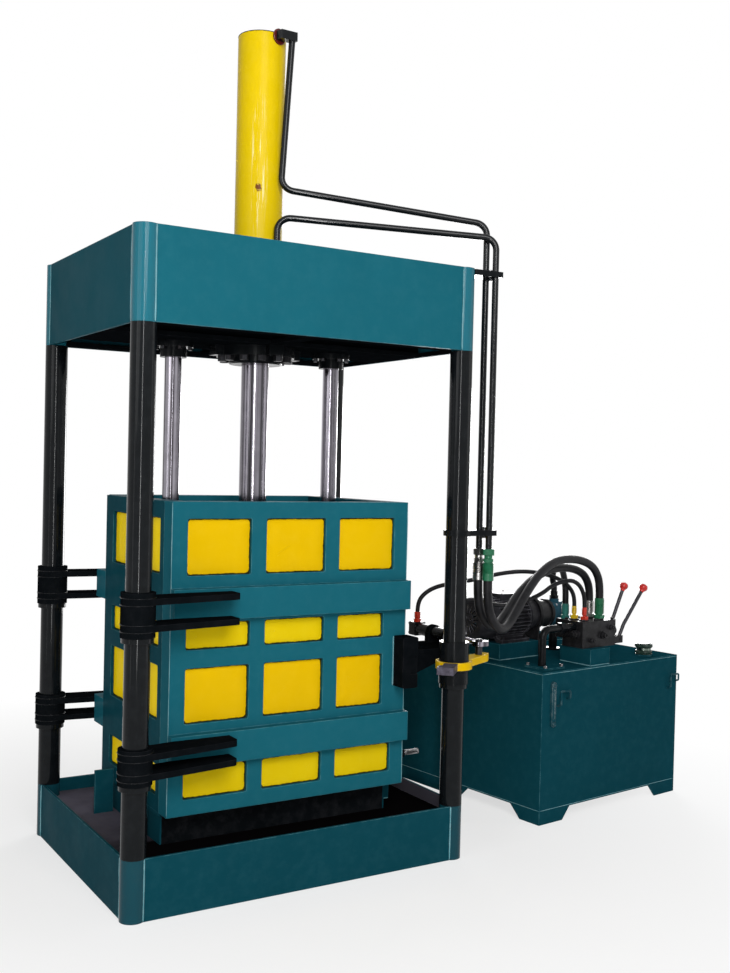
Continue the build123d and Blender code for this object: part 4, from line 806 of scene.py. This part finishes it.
# For each slot: the material's name, the function that makes it and what it is given.
SLOT_FINISHES = {
    "teal_paint": ("teal_enamel", teal),
    "black_paint": ("black_gloss", gloss_black),
    "chrome": ("hard_chrome", hard_chrome),
    "dark_steel": ("dark_steel", metal, (0.045, 0.045, 0.05), 0.4, 0.25),
    "bright_steel": ("bright_steel", metal, (0.38, 0.38, 0.39), 0.25, 0.1),
    "silver_fitting": ("zinc_fitting", metal, (0.4, 0.39, 0.38), 0.28, 0.1),
    "hose_rubber": ("hose_rubber", rubber),
    "red_plastic": ("red_plastic", knob_red),
    "red_fitting": ("red_fitting", plastic, (0.42, 0.022, 0.008)),
    "yellow_fitting": ("yellow_fitting", plastic, (0.6, 0.4, 0.01)),
    "green_fitting": ("green_fitting", plastic, (0.012, 0.12, 0.055)),
    "teal_fitting": ("teal_fitting", plastic, (0.02, 0.14, 0.12), 0.32),
    "cap_green": ("cap_green", plastic, (0.004, 0.022, 0.014), 0.25),
    "motor_paint": ("motor_grey", motor_grey),
    "pump_paint": ("pump_blue", pump_blue),
    "iron": ("cast_iron", cast_iron),
}

# Nodes whose finish isn't that of their slot. Every node of the slots yellow_paint, deck_paint
# and gauge is here.
OWN_FINISHES = (
    (("side_walls", "tank", "unit_stands"), "teal_deep_enamel", deep_teal),
    (("tank_lid",), "lid_enamel", matt_teal),
    (("tank_hooks", "level_gauge"), "teal_worn", worn_teal),
    (("base_frame",), "teal_base", base_teal),
    (("crown_box",), "teal_crown", crown_teal_side_shade),
    (("columns",), "column_enamel", column_black),
    (("front_arms", "rear_arms", "front_keeper", "rear_keeper", "lock_shelf", "crown_web"),
     "black_satin", satin_black),
    (("press_pipes",), "pipe_gloss", pipe_black),
    (("chamber_bed",), "foot_enamel", foot_shadow_black),
    (("base_deck",), "deck_worn", worn_shaded_deck),
    (("lock_plate", "rear_lock"), "lock_yellow", lock_yellow),
    (("cylinder_tube",), "cylinder_yellow", cylinder_yellow),
    (("front_panels", "rear_panels", "side_panels"), "panel_margin", panel_margin),
    (("motor_fan",), "fan_black", plastic, (0.006, 0.006, 0.007), 0.4),
)
_made = {}


def once(name, maker, *given):
    """Material of that name, made when it is first asked for."""
    if name not in _made:
        _made[name] = maker(name, *given)
    return _made[name]


def finish_of(slot):
    """Material of one of the record's slots."""
    return once(*SLOT_FINISHES[slot])


class BALER_OT_finishes(bpy.types.Operator):
    """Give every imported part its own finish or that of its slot"""

    bl_idname = "baler.finishes"
    bl_label = "Finishes"

    def execute(self, context):
        own = {node: finish for nodes, *finish in OWN_FINISHES for node in nodes}
        for node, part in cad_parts.items():
            for held in part.material_slots:
                slot = held.material.name.split(".")[0]
                held.material = once(*own[node]) if node in own else finish_of(slot)
        return {"FINISHED"}


# Stage
SENSOR, NEAREST, FARTHEST = 36, 0.05, 200
STRIP_HEIGHT = 5.0
FLOOR_X, FLOOR_Z, FLOOR_SIDES = 0.5, -0.001, 96
WHITE = (1, 1, 1, 1)


def stood(data, right, up, back, at):
    """Camera or lamp at a place, with its three axes; it looks against the last."""
    made = bpy.data.objects.new(data.name, data)
    bpy.context.scene.collection.objects.link(made)
    made.matrix_world = Matrix([*np.column_stack([right, up, back, at]).tolist(), (0, 0, 0, 1)])
    return made


def seen(tree):
    """1 for rays of the camera, of reflections and through glass, 0 for rays of light."""
    rays = add(tree, "LightPath").outputs
    direct = maths(tree, "MAXIMUM", rays["Is Camera Ray"], rays["Is Glossy Ray"])
    return maths(tree, "MAXIMUM", direct, rays["Is Transmission Ray"])


class BALER_OT_stage(bpy.types.Operator):
    """Camera of the photograph, soft studio light and a plain pale floor"""

    bl_idname = "baler.stage"
    bl_label = "Camera, light and floor"

    def execute(self, context):
        scene = context.scene
        scene.view_settings.view_transform = "Standard"
        scene.camera = self.camera(scene.baler_stage)
        self.lamps(scene.baler_stage)
        scene.world = self.surround(scene.baler_stage.sky)
        self.floor(scene)
        return {"FINISHED"}

    def camera(self, settings):
        """Camera at the eye, turned by yaw, then pitch, then roll."""
        data = bpy.data.cameras.new("camera")
        data.lens, data.sensor_width, data.sensor_fit = settings.lens, SENSOR, "AUTO"
        data.clip_start, data.clip_end = NEAREST, FARTHEST
        yaw, pitch, roll = settings.yaw, settings.pitch, settings.roll
        look = np.array([math.sin(yaw) * math.cos(pitch), math.cos(yaw) * math.cos(pitch), math.sin(pitch)])
        right = np.array([math.cos(yaw), -math.sin(yaw), 0.0])
        up = np.cross(right, look)
        return stood(data, math.cos(roll) * right + math.sin(roll) * up,
                     math.cos(roll) * up - math.sin(roll) * right, -look, tuple(settings.eye))

    def lamps(self, settings):
        """Round lamps and tall strips: each with its place, the point it faces, size and power."""
        for name, at, aim, size, power in (
                ("key_light", (-1.3, -5.5, 4.6), (0.1, 0, 1.9), 3.2, settings.key_power),
                ("fill_light", (-5.0, -2.5, 3.4), (0, 0, 1.2), 3.0, settings.fill_power),
                ("rim_light", (3.2, 4.2, 4.2), (0.4, 0, 1.4), 2.5, settings.fill_power * 0.8),
                ("rear_light", (4.8, 3.8, 1.4), (0.5, 0, 1.3), 2.4, settings.rear_power),
                ("left_strip", (-5.2, -1.5, 2.0), (0, 0, 1.9), 0.22, settings.strip_power),
                ("right_strip", (4.6, -2.6, 2.2), (0, 0, 1.9), 0.22, settings.strip_power),
                ("front_strip", (-2.75, -5.65, 2.1), (0, 0, 1.9), 0.18, settings.line_power)):
            data = bpy.data.lights.new(name, "AREA")
            data.shape, data.size, data.energy = "DISK", size, power
            if name.endswith("strip"):
                data.shape, data.size_y = "RECTANGLE", STRIP_HEIGHT
            stood(data, *basis(np.subtract(at, aim)), at)

    def surround(self, sky):
        """World that is white where it is seen, and lights the object by the sky's strength."""
        world = bpy.data.worlds.new("studio")
        tree = bare_tree(world)
        ground = add(tree, "Background", {"Color": WHITE, "Strength": ramp(tree, seen(tree), 0, 1, sky, 1.0)})
        add(tree, "OutputWorld", {"Surface": ground.outputs["Background"]})
        return world

    def floor(self, scene):
        """Disc of rings, each a circle of growing radius."""
        radii = np.concatenate([[1e-4], np.geomspace(1.5, 60, 12)])[:, None]
        angle = circle(FLOOR_SIDES)
        x, y = radii * np.cos(angle) + FLOOR_X, radii * np.sin(angle)
        floor = bpy.data.objects.new("floor", rings_mesh(np.stack([x, y, np.full_like(x, FLOOR_Z)], axis=-1)))
        floor.data.materials.append(self.pale_floor())
        scene.collection.objects.link(floor)

    def pale_floor(self):
        """Matt near-white floor that fades to pure white away from the machine."""
        material = bpy.data.materials.new("pale_floor")
        tree = bare_tree(material)
        coords = coords_of(tree)
        far = add(tree, "VectorMath", {0: coords}, operation="LENGTH").outputs["Value"]
        pale = mix(tree, noise(tree, coords, 3, 4), (0.86, 0.86, 0.86, 1), (0.9, 0.9, 0.9, 1))
        matt = add(tree, "BsdfDiffuse", {"Color": pale}).outputs["BSDF"]
        bright = add(tree, "Emission", {"Color": WHITE, "Strength": 1.0}).outputs["Emission"]
        share = times(tree, seen(tree), ramp(tree, far, 1.2, 3.6, 0.6, 1.0))
        both = add(tree, "MixShader", {0: share, 1: matt, 2: bright})
        add(tree, "OutputMaterial", {"Surface": both.outputs["Shader"]})
        return material


# Hoses
# Diameter, length, stiffness and route of each hose, in metres.
HOSE_SIDES = 28
HOSES = {
    "hose_green": (0.042, 1.43, "medium", [
        (0.924, -0.600, 1.265), (0.924, -0.600, 1.168), (0.960, -0.588, 1.080), (1.035, -0.561, 1.024),
        (1.104, -0.521, 1.023), (1.188, -0.484, 1.082), (1.303, -0.442, 1.196), (1.433, -0.393, 1.282),
        (1.586, -0.340, 1.326), (1.745, -0.305, 1.322), (1.858, -0.290, 1.288), (1.916, -0.278, 1.232),
        (1.94136, -0.26977, 1.167), (1.94136, -0.26977, 1.105)]),
    "hose_silver": (0.042, 1.39, "medium", [
        (0.908, -0.548, 1.265), (0.908, -0.548, 1.170), (0.946, -0.535, 1.084), (1.021, -0.507, 1.030),
        (1.092, -0.466, 1.029), (1.177, -0.428, 1.080), (1.302, -0.370, 1.170), (1.444, -0.326, 1.241),
        (1.595, -0.279, 1.274), (1.748, -0.238, 1.272), (1.856, -0.221, 1.242), (1.910, -0.208, 1.192),
        (1.93307, -0.20026, 1.135), (1.93307, -0.20026, 1.085)]),
    "hose_yellow": (0.022, 1.03, "medium", [
        (0.97394, 0.040, 1.040), (0.97394, 0.040, 1.082), (0.999, 0.032, 1.128), (1.058, 0.014, 1.166),
        (1.147, -0.002, 1.183), (1.271, -0.050, 1.204), (1.421, -0.072, 1.236), (1.548, -0.134, 1.250),
        (1.683, -0.164, 1.226), (1.753, -0.196, 1.192), (1.795, -0.209, 1.150),
        (1.81392, -0.21447, 1.104), (1.81392, -0.21447, 1.062)]),
    "hose_red": (0.022, 1.02, "medium", [
        (0.97394, -0.304, 1.040), (0.97394, -0.304, 1.080), (0.994, -0.301, 1.118), (1.045, -0.300, 1.140),
        (1.121, -0.287, 1.126), (1.233, -0.296, 1.098), (1.365, -0.268, 1.096), (1.499, -0.300, 1.140),
        (1.604, -0.283, 1.192), (1.705, -0.297, 1.214), (1.769, -0.291, 1.190), (1.806, -0.286, 1.148),
        (1.82221, -0.28397, 1.104), (1.82221, -0.28397, 1.062)]),
    "hose_pump": (0.034, 0.52, "stiff", [
        (1.82430, -0.13266, 1.065), (1.82430, -0.13266, 1.128), (1.830, -0.116, 1.188),
        (1.850, -0.076, 1.234), (1.879, -0.018, 1.254), (1.911, 0.044, 1.248), (1.939, 0.100, 1.222),
        (1.957, 0.131, 1.168), (1.97940, 0.13760, 1.130), (1.97940, 0.13760, 1.100)]),
}


def route_line(points, resolution=14):
    """Points of the smooth line that a NURBS spline of order 3 draws near its route."""
    curve = bpy.data.curves.new("route", "CURVE")
    curve.dimensions = "3D"
    spline = curve.splines.new("NURBS")
    spline.points.add(len(points) - 1)
    for held, point in zip(spline.points, points):
        held.co = (*point, 1)
    spline.order_u = 3
    spline.use_endpoint_u = True
    curve.resolution_u = spline.resolution_u = resolution
    carrier = bpy.data.objects.new("route", curve)
    bpy.context.scene.collection.objects.link(carrier)
    bpy.context.view_layer.update()
    mesh = bpy.data.meshes.new_from_object(carrier.evaluated_get(bpy.context.evaluated_depsgraph_get()))
    line = np.empty(len(mesh.vertices) * 3, np.float32)
    mesh.vertices.foreach_get("co", line)
    bpy.data.objects.remove(carrier)
    bpy.data.meshes.remove(mesh)
    bpy.data.curves.remove(curve)
    return line.reshape(-1, 3).astype(float)


class BALER_OT_hoses(bpy.types.Operator):
    """Five pressure hoses, each a tube round the smooth line of its route"""

    bl_idname = "baler.hoses"
    bl_label = "Hoses"

    def execute(self, context):
        for name, (diameter, length, stiffness, points) in HOSES.items():
            self.hose(name, diameter, length, stiffness, points)
        return {"FINISHED"}

    def hose(self, name, diameter, length, stiffness, points):
        """Ring of the hose's radius carried along its line, with the run along it and the
        turn round it kept on each point for the wrap pattern."""
        line = route_line(points)
        mesh = tube(line, diameter / 2, HOSE_SIDES)
        run = np.concatenate([[0], np.cumsum(np.linalg.norm(np.diff(line, axis=0), axis=1))])
        turn = np.arange(HOSE_SIDES) / HOSE_SIDES
        for key, value in (("run", np.repeat(run, HOSE_SIDES)), ("turn", np.tile(turn, len(line)))):
            mesh.attributes.new(key, "FLOAT", "POINT").data.foreach_set("value", value.astype(np.float32))
        piece = place(name + "_cover", [mesh], FRAME, "hose_rubber", replaces=[name])


# Welds
# Where the beads lie, in metres, and those of the tank in millimetres of the power unit.
BASE_SEAM, CROWN_SEAM = (0.002, 0.244), (2.316, 2.688)
GUSSET_X, GUSSET_END_X, GUSSET_Y, GUSSET_FOOT, GUSSET_TOP = 0.5755, 0.657, 0.2075, 0.187, 0.378
CYLINDER_RIM, CYLINDER_FOOT, CYLINDER_FOOT_R = 3.7405, 2.6915, 0.111
DOOR_FACE, DOOR_FOOT, DOOR_TOP = 0.4465, 0.335, 1.615
BAND_FACE, BANDS, BAND_HALF = 0.4468, (0.603, 1.200), 0.0655
KEEPER_X, KEEPER_FOOT, KEEPER_TOP = 0.511, 0.785, 1.011
SLEEVES, SLEEVE_HALF = (0.563, 0.641, 1.137, 1.240), 0.0138
LOCK_RINGS, RING_R, RING_BEAD = (0.8665, 0.9035), 0.068, 0.0022
TANK_SEAMS = (72, 759)
STANDS = (((375, 12), (530, 222)), ((80, 385), (380, 615)))


class BALER_OT_welds(bpy.types.Operator):
    """Weld beads on the frame, the doors, the sleeves, the tank and the cylinder"""

    bl_idname = "baler.welds"
    bl_label = "Weld beads"

    def execute(self, context):
        # Frame, tank and door-edge beads take pale teal as a painted highlight.
        pale = once("weld_pale", weld_highlight_teal)
        place("frame_welds", self.frame(), FRAME, "teal_paint", pale)
        place("tank_welds", self.tank(), FRAME, "teal_paint", pale)
        place("cylinder_welds", [
            ring_bead((0, 0, CYLINDER_RIM), CYLINDER_R, 0.0024),
            ring_bead((0, 0, CYLINDER_FOOT), CYLINDER_FOOT_R, 0.004)], FRAME, "black_paint")
        self.door("front_door", FRONT_DOOR, -1, 0.572, pale)
        self.door("rear_door", REAR_DOOR, 1, 0.530, pale)
        for name, body, side in (("front_lock", "front_lock", -1), ("rear_lock", "rear_lock_body", 1)):
            place(f"{name}_welds", self.rings(COLUMN_X, side, LOCK_RINGS), body, "black_paint")
        return {"FINISHED"}

    def frame(self):
        """Seams where the plates meet the corner tubes, and along the upright gussets."""
        made = []
        corners = [(x * (COLUMN_X - SEAM), y * FRONT_Y) for x in SIDES for y in SIDES]
        corners += [(x * SIDE_X, y * (COLUMN_Y - SEAM)) for x in SIDES for y in SIDES]
        for k, corner in enumerate(corners):
            for (low, high), seed in ((CROWN_SEAM, k), (BASE_SEAM, k + 9)):
                made.append(bead((*corner, low), (*corner, high), seed=seed))
        for side in SIDES:
            for y in (-GUSSET_Y, GUSSET_Y):
                foot = (side * GUSSET_X, y, GUSSET_FOOT)
                made.append(bead(foot, (side * GUSSET_X, y, GUSSET_TOP), 0.0025, 3))
                made.append(bead(foot, (side * GUSSET_END_X, y, GUSSET_FOOT), 0.0025, 4))
        return made

    def tank(self):
        """Seams round the tank's walls, where its rear part begins, and round the two stands."""
        made = []
        for z in TANK_SEAMS:
            ring = [unit(u, v, z) for u, v in ((0, 0), (TANK_L, 0), (TANK_L, TANK_BACK), (0, TANK_BACK))]
            made += bead_loop(ring, 0.0016)
        low, high = TANK_SEAMS
        made += [bead(unit(u, TANK_D, low), unit(u, TANK_D, high), 0.002, u) for u in (0, TANK_L)]
        made.append(bead(unit(4, TANK_D, TANK_TOP), unit(TANK_L - 4, TANK_D, TANK_TOP), 0.0018))
        for (left, front), (right, back) in STANDS:
            foot = ((left, front), (right, front), (right, back), (left, back))
            made += bead_loop([unit(u, v, TANK_TOP + 1) for u, v in foot], 0.003, 5)
        return made

    def door(self, name, body, side, reach, pale):
        """Beads of a door of that half width: along its strong bands, down its keeper and its
        two edges, and round its sleeves."""
        bands = [bead((-reach, side * BAND_FACE, z + lift), (reach, side * BAND_FACE, z + lift), 0.0024, k)
                 for k, z in enumerate(BANDS) for lift in (-BAND_HALF, BAND_HALF)]
        place(f"{name}_welds", bands, body, "teal_paint")
        y = side * DOOR_FACE
        # The thick pale bead down the keeper's edge is a painted highlight along that edge.
        edges = [bead((KEEPER_X, y, KEEPER_FOOT), (KEEPER_X, y, KEEPER_TOP), 0.004)]
        edges += [bead((end * reach, y, DOOR_FOOT), (end * reach, y, DOOR_TOP), 0.0018, end) for end in SIDES]
        place(f"{name}_edge_welds", edges, body, "teal_paint", pale)
        sleeve_ends = [z + lift for z in SLEEVES for lift in (-SLEEVE_HALF, SLEEVE_HALF)]
        place(f"{name}_sleeve_welds", self.rings(-COLUMN_X, side, sleeve_ends), body, "black_paint")

    def rings(self, x, side, heights):
        """Beads round the sleeves on a front or rear column."""
        return [ring_bead((x, side * COLUMN_Y, z), RING_R, RING_BEAD) for z in heights]


# Rear of the tank
# Thickness of its plates, and width and slope of a rear foot, in millimetres.
TANK_WALL, FOOT_WIDTH, FOOT_SLOPE = 6, 172, 55


class BALER_OT_tank_back(bpy.types.Operator):
    """Rear part of the tank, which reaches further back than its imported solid"""

    bl_idname = "baler.tank_back"
    bl_label = "Rear of the tank"

    def execute(self, context):
        made = [prism(self.side(0, SKIRT, TANK_TOP), MM * TANK_L * ALONG)]
        for u in (0, TANK_L - TANK_WALL):
            made.append(prism(self.side(u, 0, SKIRT), MM * TANK_WALL * ALONG))
        for start, way in ((TANK_WALL, 1), (TANK_L - TANK_WALL, -1)):
            foot = [unit(start + way * u, TANK_BACK - TANK_WALL, z)
                    for u, z in ((0, 0), (FOOT_WIDTH, 0), (FOOT_WIDTH + FOOT_SLOPE, SKIRT), (0, SKIRT))]
            made.append(prism(foot, MM * TANK_WALL * ACROSS))
        place("tank_back", made, FRAME, "teal_paint", once("lid_enamel", matt_teal), smooth=False)
        return {"FINISHED"}

    def side(self, u, low, high):
        """Rectangle of the added depth between two heights."""
        return [unit(u, v, z) for v, z in (
            (TANK_D, low), (TANK_BACK, low), (TANK_BACK, high), (TANK_D, high))]


# Fixings
# Places on the power unit, in its millimetres, and the pipe clamps' bolts, in metres.
MOTOR_FEET, FEET_HALF, FEET_TOP = (130, 300), 88, 870
HOUSING_U, HOUSING_RING, COWL_U, COWL_RING = 438, 92, 90, 112
TERMINAL_U, TERMINAL_TOP = 210, 1110
SPOOL_Z, PIN_U, PIN_HALF, PIN_Z = 924, 705, 19, 872
RETURN_U, RETURN_V, PUMP_U = 145, 122, 580
CLAMP, CLAMPS, CLAMP_DEPTH = (0.916, -0.574), (2.689, 1.500), 0.026
SOCKET, PIN = ("socket", 0.0085, 0.011), ("round", 0.009, 0.004)
NUT = [("hex", 0.008, 0.008), ("round", 0.0045, 0.006)]
SCREW_STEPS = 24


def four(wide, high):
    """Offsets of the four corners of a rectangle from its half sizes."""
    return [(x, y) for x in (-wide, wide) for y in (-high, high)]


class BALER_OT_fixings(bpy.types.Operator):
    """Bolts, nuts, screws and plugs"""

    bl_idname = "baler.fixings"
    bl_label = "Bolts and screws"

    def execute(self, context):
        place("unit_bolts", self.unit_bolts(), FRAME, "dark_steel")
        place("valve_screws", self.valve_screws(), FRAME, "iron")
        place("bright_bolts", self.bright_bolts(), FRAME, "bright_steel")
        rim, grip = ("round", 0.0125, 0.006), ("knurl", 0.0118, 0.066)
        place("latch_grip", [turned((0.612, -0.401, 0.455), (1, 0, 0), [rim, grip, rim], 40)],
              "hand_latch", "bright_steel")
        return {"FINISHED"}

    def on_motor(self, u, radius, degrees):
        """Point of a ring round the motor's axis, and the way out from the axis."""
        turn = math.radians(degrees)
        out = math.cos(turn) * ACROSS + math.sin(turn) * UP
        return unit(u, MOTOR_V, MOTOR_Z) + MM * radius * out, out

    def unit_bolts(self):
        """Motor feet, bell housing ring, cowl screws and terminal box."""
        made = [bolt(unit(u, MOTOR_V + v, FEET_TOP), UP, 0.017)
                for u in MOTOR_FEET for v in (-FEET_HALF, FEET_HALF)]
        for k in range(8):
            made.append(bolt(self.on_motor(HOUSING_U, HOUSING_RING, 22.5 + 45 * k)[0], ALONG, 0.013))
        for k in range(4):
            made.append(turned(*self.on_motor(COWL_U, COWL_RING, 45 + 90 * k), [("socket", 0.006, 0.004)],
                               SCREW_STEPS))
        made += [turned(unit(TERMINAL_U + u, MOTOR_V + v, TERMINAL_TOP), UP, [("socket", 0.005, 0.0035)],
                        SCREW_STEPS) for u, v in four(54, 49)]
        return made

    def valve_screws(self):
        """Cap screws on top, plugs on the front and caps on the spools' ends."""
        made = [turned(unit(u, v, VALVE_TOP), UP, [SOCKET], SCREW_STEPS)
                for u in (382, 478, 612) for v in (71, 189)]
        made += [turned(unit(u, 39, z), -ACROSS, [("round", r + 0.003, 0.003), ("socket", r, 0.012)], 30)
                 for u, z, r in ((515, 914, 0.015), (580, 952, 0.011), (425, 892, 0.009))]
        for v in (100, 170):
            for u, way, cap in ((664, ALONG, [("hex", 0.014, 0.009), ("round", 0.008, 0.006)]),
                                (335, -ALONG, [("hex", 0.013, 0.010)])):
                made.append(turned(unit(u, v, SPOOL_Z), way, cap, SCREW_STEPS))
            for side in SIDES:
                at = unit(PIN_U, v + side * PIN_HALF, PIN_Z)
                made.append(turned(at, side * ACROSS, [PIN], SCREW_STEPS))
        return made

    def bright_bolts(self):
        """Lock cylinder's tie nuts, pipe clamps, pump flange and the return pipe's plate."""
        made = [turned((LOCK_X + x, y, LOCK_Z + z), (0, way, 0), NUT, SCREW_STEPS)
                for x, z in four(0.024, 0.024) for y, way in ((-0.330, -1), (0.066, 1))]
        for z in CLAMPS:
            made += [bolt((*CLAMP, z), UP, 0.017), bolt((*CLAMP, z - CLAMP_DEPTH), -UP, 0.017)]
        made += [bolt(unit(RETURN_U + u, RETURN_V + v, TANK_TOP + 8), UP, 0.016) for u, v in four(60, 60)]
        made += [bolt(unit(PUMP_U, MOTOR_V + v, MOTOR_Z + z), ALONG, 0.013) for v, z in four(53, 47)]
        return made


# Fittings
# Ports of the press pipes and of the lock cylinder, and the way and height of the boss on the
# press cylinder, in metres; the breather cap in millimetres of the power unit.
PORT_FOOT, LOCK_PORT = 1.412, 0.989
BOSS_WAY, BOSS_Z = np.array([0.293, -0.956, 0]), 3.725
CAP_U, CAP_V, CAP_LIFT = 920, 92, 6.5


class BALER_OT_fittings(bpy.types.Operator):
    """Hose ends: hexagon, collar and ridged ferrule, and the knurled breather cap"""

    bl_idname = "baler.fittings"
    bl_label = "Hose fittings and cap"

    def execute(self, context):
        for name, slot, u, v, low, high, diameter, others in (
                ("fittings_red", "red_fitting", 420, 100, 996, 1062, 22, self.elbows()),
                ("fitting_yellow", "yellow_fitting", 420, 170, 996, 1062, 22, []),
                ("fittings_green", "green_fitting", 540, 100, 996, 1105, 42, [self.coupler(0.924, -0.600)]),
                ("fittings_silver", "silver_fitting", 540, 170, 996, 1085, 42, [self.coupler(0.908, -0.548)]),
                ("fitting_pump", "teal_fitting", 440, 250, 984, 1065, 34, [])):
            end = self.end(unit(u, v, low), MM * (high - low), MM * diameter)
            place(name + "_turned", [end, *others], FRAME, slot, sharp=30, replaces=[name])
        self.cap()
        boss = turned(CYLINDER_R * BOSS_WAY + BOSS_Z * UP, BOSS_WAY, [("round", 0.036, 0.009)])
        place("cylinder_boss", [boss], FRAME, "red_fitting",
              once("boss_red", plastic, (0.10, 0.006, 0.005), 0.4))
        return {"FINISHED"}

    def end(self, origin, height, diameter):
        """Hexagon, neck and ferrule of a hose end, about a fifth wider than its hose."""
        return turned(origin, UP, [
            ("hex", max(0.62 * diameter, 0.019), 0.020), ("round", 0.5 * diameter, 0.006),
            ("round", 0.6 * diameter, 0.008), ("ridged", 0.62 * diameter, height - 0.042),
            ("round", 0.57 * diameter, 0.008)])

    def coupler(self, x, y):
        """Fitting that hangs under a port of the press pipes."""
        return turned((x, y, PORT_FOOT), -UP, [
            ("hex", 0.025, 0.030), ("round", 0.019, 0.014), ("hex", 0.021, 0.018), ("round", 0.023, 0.004),
            ("ridged", 0.0275, 0.045), ("round", 0.0265, 0.036)])

    def elbows(self):
        """The two fittings on top of the lock cylinder."""
        return [turned((LOCK_X, y, LOCK_PORT), UP, [
            ("hex", 0.018, 0.016), ("round", 0.014, 0.004), ("ridged", 0.0165, 0.031)])
            for y in (-0.304, 0.040)]

    def cap(self):
        """Breather cap: skirt, bright neck ring and a knurled top with a raised rim."""
        base = unit(CAP_U, CAP_V, TANK_TOP + CAP_LIFT)
        skirt = turned(base, UP, [
            ("round", 0.046, 0.006), ("knurl", 0.0455, 0.014), ("round", 0.043, 0.003)], 120)
        neck = turned(base + 0.022 * UP, UP, [("round", 0.040, 0.0145)], 60)
        top = turned(base + 0.036 * UP, UP, [
            ("round", 0.044, 0.004), ("knurl", 0.0475, 0.016), ("round", 0.045, 0.003),
            ("round", 0.036, 0.002)], 120)
        place("breather_skirt", [skirt], FRAME, "cap_green", replaces=["breather_cap"])
        place("breather_neck", [neck], FRAME, "bright_steel",
              once("neck_chrome", metal, (0.16, 0.2, 0.17), 0.2))
        place("breather_top", [top], FRAME, "cap_green")


# Panel fields
class BALER_OT_panels(bpy.types.Operator):
    """Yellow fields painted by hand between the ribs, with a dark uneven margin of painted shade"""

    bl_idname = "baler.panels"
    bl_label = "Yellow panel fields"

    def execute(self, context):
        gold = once("panel_gold", panel_yellow, paint().yellow, (0.95, 0.8, 0.1))
        lime = once("panel_lime", panel_yellow, paint().lime, (0.85, 0.85, 0.1), 0.05)
        # The side panels take the lighter yellow as painted light on their shaded side.
        bright = once("panel_bright", panel_yellow, paint().bright, (0.98, 0.85, 0.1))
        for node, body in (("front_panels", FRONT_DOOR), ("rear_panels", REAR_DOOR), ("side_panels", FRAME)):
            for k, (low, high) in enumerate(solids(node)):
                enamel = bright if node == "side_panels" else lime if self.shaded_row(low, high) else gold
                self.field(f"{node}_field_{k:02d}", node, body, low, high, enamel, k)
        return {"FINISHED"}

    def shaded_row(self, low, high):
        """Whether a door's panel is one of the lowest, or a low narrow one under a band: the rows whose
        greener yellow is painted shade.
        """
        return high[2] < 0.6 or (high[2] < 1.2 and high[2] - low[2] < 0.15)

    def field(self, name, node, body, low, high, enamel, number):
        """Field on the outer face of one panel, smaller than it by the inset. Side panels face
        along X and those of the doors along Y."""
        facing = 0 if node == "side_panels" else 1
        centre, size = (low + high) / 2, high - low
        side = {"front_panels": -1.0, "rear_panels": 1.0}.get(node, np.sign(centre[0]))
        centre[facing] = high[facing] if side > 0 else low[facing]
        right, out = np.zeros(3), np.zeros(3)
        right[1 - facing], out[facing] = 1.0, side
        inset = 2 * detail().field_inset
        seed = 1.7 * number + (3.1 if node == "front_panels" else 0.4)
        mesh = rounded_field(centre, right, out, size[1 - facing] - inset, size[2] - inset, seed)
        place(name, [mesh], body, "yellow_paint", enamel, sharp=60)


# Panel
STEPS = [BALER_OT_stage, BALER_OT_finishes, BALER_OT_hoses, BALER_OT_fittings, BALER_OT_panels,
         BALER_OT_tank_back, BALER_OT_welds, BALER_OT_fixings]
SETTINGS = {"baler_paint": PaintSettings, "baler_detail": DetailSettings, "baler_stage": StageSettings}


class BALER_PT_sidebar(bpy.types.Panel):
    """Operators of the baler dresser, in the order they are run"""

    bl_idname = "BALER_PT_sidebar"
    bl_label = "Baler"
    bl_space_type = "VIEW_3D"
    bl_region_type = "UI"
    bl_category = "Baler"

    def draw(self, context):
        for step in STEPS:
            self.layout.operator(step.bl_idname)
        for name in SETTINGS:
            group = getattr(context.scene, name)
            box = self.layout.box()
            for key in group.bl_rna.properties.keys():
                if key not in {"rna_type", "name"}:
                    box.prop(group, key)


CLASSES = [*SETTINGS.values(), *STEPS, BALER_PT_sidebar]


def register():
    for made in CLASSES:
        bpy.utils.register_class(made)
    for name, group in SETTINGS.items():
        setattr(bpy.types.Scene, name, bpy.props.PointerProperty(type=group))


def unregister():
    for name in SETTINGS:
        delattr(bpy.types.Scene, name)
    for made in reversed(CLASSES):
        bpy.utils.unregister_class(made)


def main():
    """Register, and run every step in order."""
    register()
    for step in STEPS:
        group, name = step.bl_idname.split(".")
        getattr(getattr(bpy.ops, group), name)()


if __name__ == "__main__":
    main()
